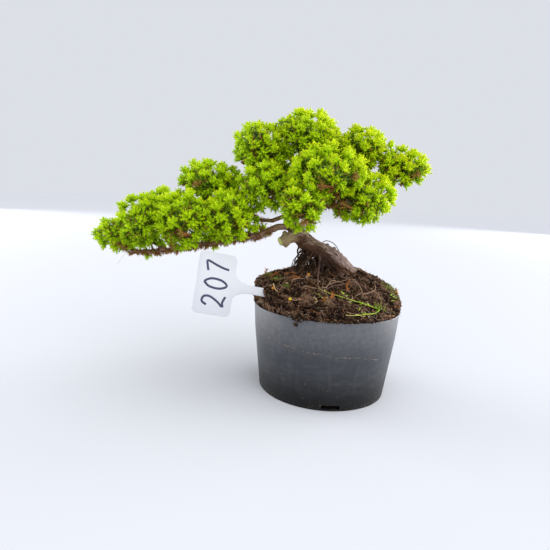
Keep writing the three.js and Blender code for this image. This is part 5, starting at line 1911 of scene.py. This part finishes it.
class BONSAI_OT_pot(bpy.types.Operator):
    """Turn the cut-down nursery pot"""

    bl_idname = "bonsai.pot"
    bl_label = "Turn Pot"

    def execute(self, context):
        settings = context.scene.bonsai_pot
        deselect_all()
        bpy.ops.mesh.primitive_cone_add(
            vertices=160,
            radius1=settings.foot_radius * MM,
            radius2=settings.knee_radius * MM,
            depth=settings.knee_height * MM,
            location=(0, 0, settings.knee_height * MM / 2),
        )
        piece = bpy.context.object
        piece.name = "nursery_pot"
        settle(piece)
        mesh = piece.data
        bpy.ops.object.mode_set(mode="EDIT")
        bpy.ops.mesh.select_all(action="DESELECT")
        bpy.ops.object.mode_set(mode="OBJECT")
        top = max(mesh.polygons, key=lambda face: face.center.z)
        top.select = True
        bpy.ops.object.mode_set(mode="EDIT")
        bpy.ops.mesh.select_mode(type="FACE")
        rise = (settings.height - settings.knee_height) * MM
        bpy.ops.mesh.extrude_region_move(TRANSFORM_OT_translate={"value": (0, 0, rise)})
        flare = settings.rim_radius / settings.knee_radius
        bpy.ops.transform.resize(value=(flare, flare, 1))
        bpy.ops.mesh.inset(thickness=settings.wall * MM)
        depth = (settings.height - POT_FLOOR) * MM
        bpy.ops.mesh.extrude_region_move(TRANSFORM_OT_translate={"value": (0, 0, -depth)})
        foot_inside = settings.foot_radius - settings.wall + FOOT_SPARE
        shrink = foot_inside / (settings.rim_radius - settings.wall)
        bpy.ops.transform.resize(value=(shrink, shrink, 1))
        bpy.ops.object.mode_set(mode="OBJECT")
        edge = {"limit_method": "ANGLE", "angle_limit": math.radians(50)}
        shape_with(piece, "BEVEL", width=POT_BEVEL * MM, segments=3, **edge)
        self.drain(piece)
        take_up(piece)
        bpy.ops.object.shade_smooth_by_angle(angle=math.radians(40))
        finish_piece(piece, pot_finish(settings), ["pot"])
        marks = pot_marks(np.random.default_rng(21)).piece("lime_and_dirt_on_pot")
        finish_piece(marks, litter_finish())
        return {"FINISHED"}

    @staticmethod
    def drain(piece):
        """Cut the slots at the foot and the holes in the floor."""
        for k in range(4):
            angle = math.radians(SLOT["angle"] + 90 * k)
            way = Vector((math.cos(angle), math.sin(angle), 0))
            middle = way * SLOT["out"] + Vector((0, 0, (SLOT["low"] + SLOT["high"]) / 2))
            deselect_all()
            bpy.ops.mesh.primitive_cube_add(size=1, location=middle * MM, rotation=(0, 0, angle))
            slot = bpy.context.object
            slot.scale = Vector((SLOT["depth"], SLOT["width"], SLOT["high"] - SLOT["low"])) * MM
            angle = math.radians(HOLE["angle"] + 90 * k)
            way = Vector((math.cos(angle), math.sin(angle), 0))
            bpy.ops.mesh.primitive_cylinder_add(
                vertices=32,
                radius=HOLE["radius"] * MM,
                depth=HOLE["depth"] * MM,
                location=way * HOLE["out"] * MM,
            )
            hole = bpy.context.object
            for cutter in (slot, hole):
                shape_with(piece, "BOOLEAN", operation="DIFFERENCE", object=cutter, solver="EXACT")
                bpy.data.objects.remove(cutter)


# The label


def label_finish(settings):
    recipe = Recipe("white label plastic")
    place = recipe.place()
    grime = recipe.noise(place, 12, detail=5, roughness=0.6)
    colour = recipe.mixed(grime.span(0.5, 0.8) * 0.15, tuple(settings.colour), (0.5, 0.5, 0.5))
    return recipe.surface(Base_Color=colour, Roughness=0.4, Normal=recipe.bump(grime, 0.05, 0.3))


def ink_finish(settings):
    recipe = Recipe("marker ink")
    cover = recipe.noise(recipe.place(), 1.5, detail=3)
    colour = recipe.mixed(cover.span(0.45, 0.75) * 0.2, tuple(settings.ink_colour), (0.09, 0.1, 0.2))
    return recipe.surface(Base_Color=colour, Roughness=0.45)


def number_strokes():
    """A plain number in marker pen, which reads upwards along the label's head."""
    stake = unit(LABEL["stake"])
    facing = unit(np.cross(stake, LABEL["across"]))
    plane = np.stack([stake, np.cross(facing, stake), facing])
    start = np.array(LABEL["entry"]) - stake * LABEL["shown"]
    heap = Heap()
    for k, figure in enumerate(NUMBER["text"]):
        places = np.array(FIGURES[figure]) - 0.5
        x = LABEL["middle"] - places[:, 1] * NUMBER["height"]
        y = (k - 1) * NUMBER["pitch"] + places[:, 0] * NUMBER["width"]
        path = smooth_path(np.column_stack([x, y, np.zeros(len(x))]), 34)
        heap.add_tube(path, NUMBER["stroke"], 8, 1.0)
    for k, points in enumerate(heap.points):
        flat = points * (1, 1, 0.12 / NUMBER["stroke"]) + (0, 0, LABEL["thickness"] / 2 + 0.02)
        heap.points[k] = start + flat @ plane
    return heap


class BONSAI_OT_label(bpy.types.Operator):
    """Make the plant label and its number"""

    bl_idname = "bonsai.label"
    bl_label = "Make Label"

    def execute(self, context):
        settings = context.scene.bonsai_label
        piece = copy_of_solid("label", "plant_label")
        take_up(piece)
        bpy.ops.object.mode_set(mode="EDIT")
        bpy.ops.mesh.select_all(action="SELECT")
        bpy.ops.mesh.dissolve_limited(angle_limit=math.radians(1))
        bpy.ops.object.mode_set(mode="OBJECT")
        edge = {"limit_method": "ANGLE", "angle_limit": math.radians(60)}
        shape_with(piece, "BEVEL", width=settings.bevel * MM, segments=2, **edge)
        bpy.ops.object.shade_smooth_by_angle(angle=math.radians(40))
        finish_piece(piece, label_finish(settings), ["label"])
        number = number_strokes().piece("label_number")
        number.data.shade_smooth()
        finish_piece(number, ink_finish(settings))
        return {"FINISHED"}


# The stage


class BONSAI_OT_stage(bpy.types.Operator):
    """Set up the camera, the soft studio light and the pale floor"""

    bl_idname = "bonsai.stage"
    bl_label = "Set Stage"

    def execute(self, context):
        settings = context.scene.bonsai_stage
        scene = context.scene
        data = bpy.data.cameras.new("camera")
        data.sensor_width = 36
        data.lens = CAMERA["lens"]
        data.clip_start = 0.02
        camera = bpy.data.objects.new("camera", data)
        scene.collection.objects.link(camera)
        axes = Matrix([CAMERA[name] for name in ("right", "up", "back")])
        camera.matrix_world = Matrix.Translation(CAMERA["place"]) @ axes.transposed().to_4x4()
        scene.camera = camera
        scene.view_settings.view_transform = "Standard"

        deselect_all()
        bpy.ops.mesh.primitive_plane_add(size=400)
        floor = bpy.context.object
        floor.name = "floor"
        colour = (*settings.floor_colour, 1)
        finish = Recipe("pale floor").surface(Base_Color=colour, Roughness=0.9, Specular_IOR_Level=0.1)
        floor.data.materials.append(finish)

        world = bpy.data.worlds.new("studio")
        scene.world = world
        world.use_nodes = True
        background = world.node_tree.nodes["Background"]
        background.inputs["Color"].default_value = (0.9, 0.93, 1.0, 1)
        background.inputs["Strength"].default_value = settings.daylight
        data = bpy.data.lights.new("skylight", "SUN")
        data.energy = settings.skylight
        data.angle = math.radians(100)
        self.aim(scene, data, SKY_PLACE)
        for name, place, size, power in LIGHTS:
            data = bpy.data.lights.new(name, "AREA")
            data.shape = "RECTANGLE"
            data.size, data.size_y = size
            data.energy = power
            self.aim(scene, data, place)
        return {"FINISHED"}

    @staticmethod
    def aim(scene, data, place):
        """Put a light at a place, turned to the tree."""
        lamp = bpy.data.objects.new(data.name, data)
        lamp.visible_camera = False
        lamp.location = place
        to_tree = Vector(TREE_MIDDLE) - lamp.location
        lamp.rotation_euler = to_tree.to_track_quat("-Z", "Y").to_euler()
        scene.collection.objects.link(lamp)


class BONSAI_PT_panel(bpy.types.Panel):
    """The bonsai's pieces and their settings"""

    bl_idname = "BONSAI_PT_panel"
    bl_label = "Juniper Bonsai"
    bl_space_type = "VIEW_3D"
    bl_region_type = "UI"
    bl_category = "Bonsai"

    def draw(self, context):
        for operator, group in STEPS:
            box = self.layout.box()
            box.operator(operator.bl_idname)
            settings = getattr(context.scene, group)
            for name in type(settings).__annotations__:
                box.prop(settings, name)


GROUPS = {
    "bonsai_needles": NeedleSettings,
    "bonsai_wood": WoodSettings,
    "bonsai_roots": RootSettings,
    "bonsai_soil": SoilSettings,
    "bonsai_litter": LitterSettings,
    "bonsai_weed": WeedSettings,
    "bonsai_pot": PotSettings,
    "bonsai_label": LabelSettings,
    "bonsai_stage": StageSettings,
}
STEPS = (
    (BONSAI_OT_stage, "bonsai_stage"),
    (BONSAI_OT_pot, "bonsai_pot"),
    (BONSAI_OT_soil, "bonsai_soil"),
    (BONSAI_OT_litter, "bonsai_litter"),
    (BONSAI_OT_weed, "bonsai_weed"),
    (BONSAI_OT_wood, "bonsai_wood"),
    (BONSAI_OT_roots, "bonsai_roots"),
    (BONSAI_OT_label, "bonsai_label"),
    (BONSAI_OT_foliage, "bonsai_needles"),
)


def register():
    for group in GROUPS.values():
        bpy.utils.register_class(group)
    for name, group in GROUPS.items():
        setattr(bpy.types.Scene, name, bpy.props.PointerProperty(type=group))
    for operator, _ in STEPS:
        bpy.utils.register_class(operator)
    bpy.utils.register_class(BONSAI_PT_panel)


def unregister():
    bpy.utils.unregister_class(BONSAI_PT_panel)
    for operator, _ in reversed(STEPS):
        bpy.utils.unregister_class(operator)
    for name, group in reversed(GROUPS.items()):
        delattr(bpy.types.Scene, name)
        bpy.utils.unregister_class(group)


def main():
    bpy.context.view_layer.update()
    register()
    for operator, _ in STEPS:
        category, name = operator.bl_idname.split(".")
        if getattr(getattr(bpy.ops, category), name)() != {"FINISHED"}:
            raise RuntimeError(operator.bl_label + " did not finish")


if __name__ == "__main__":
    main()
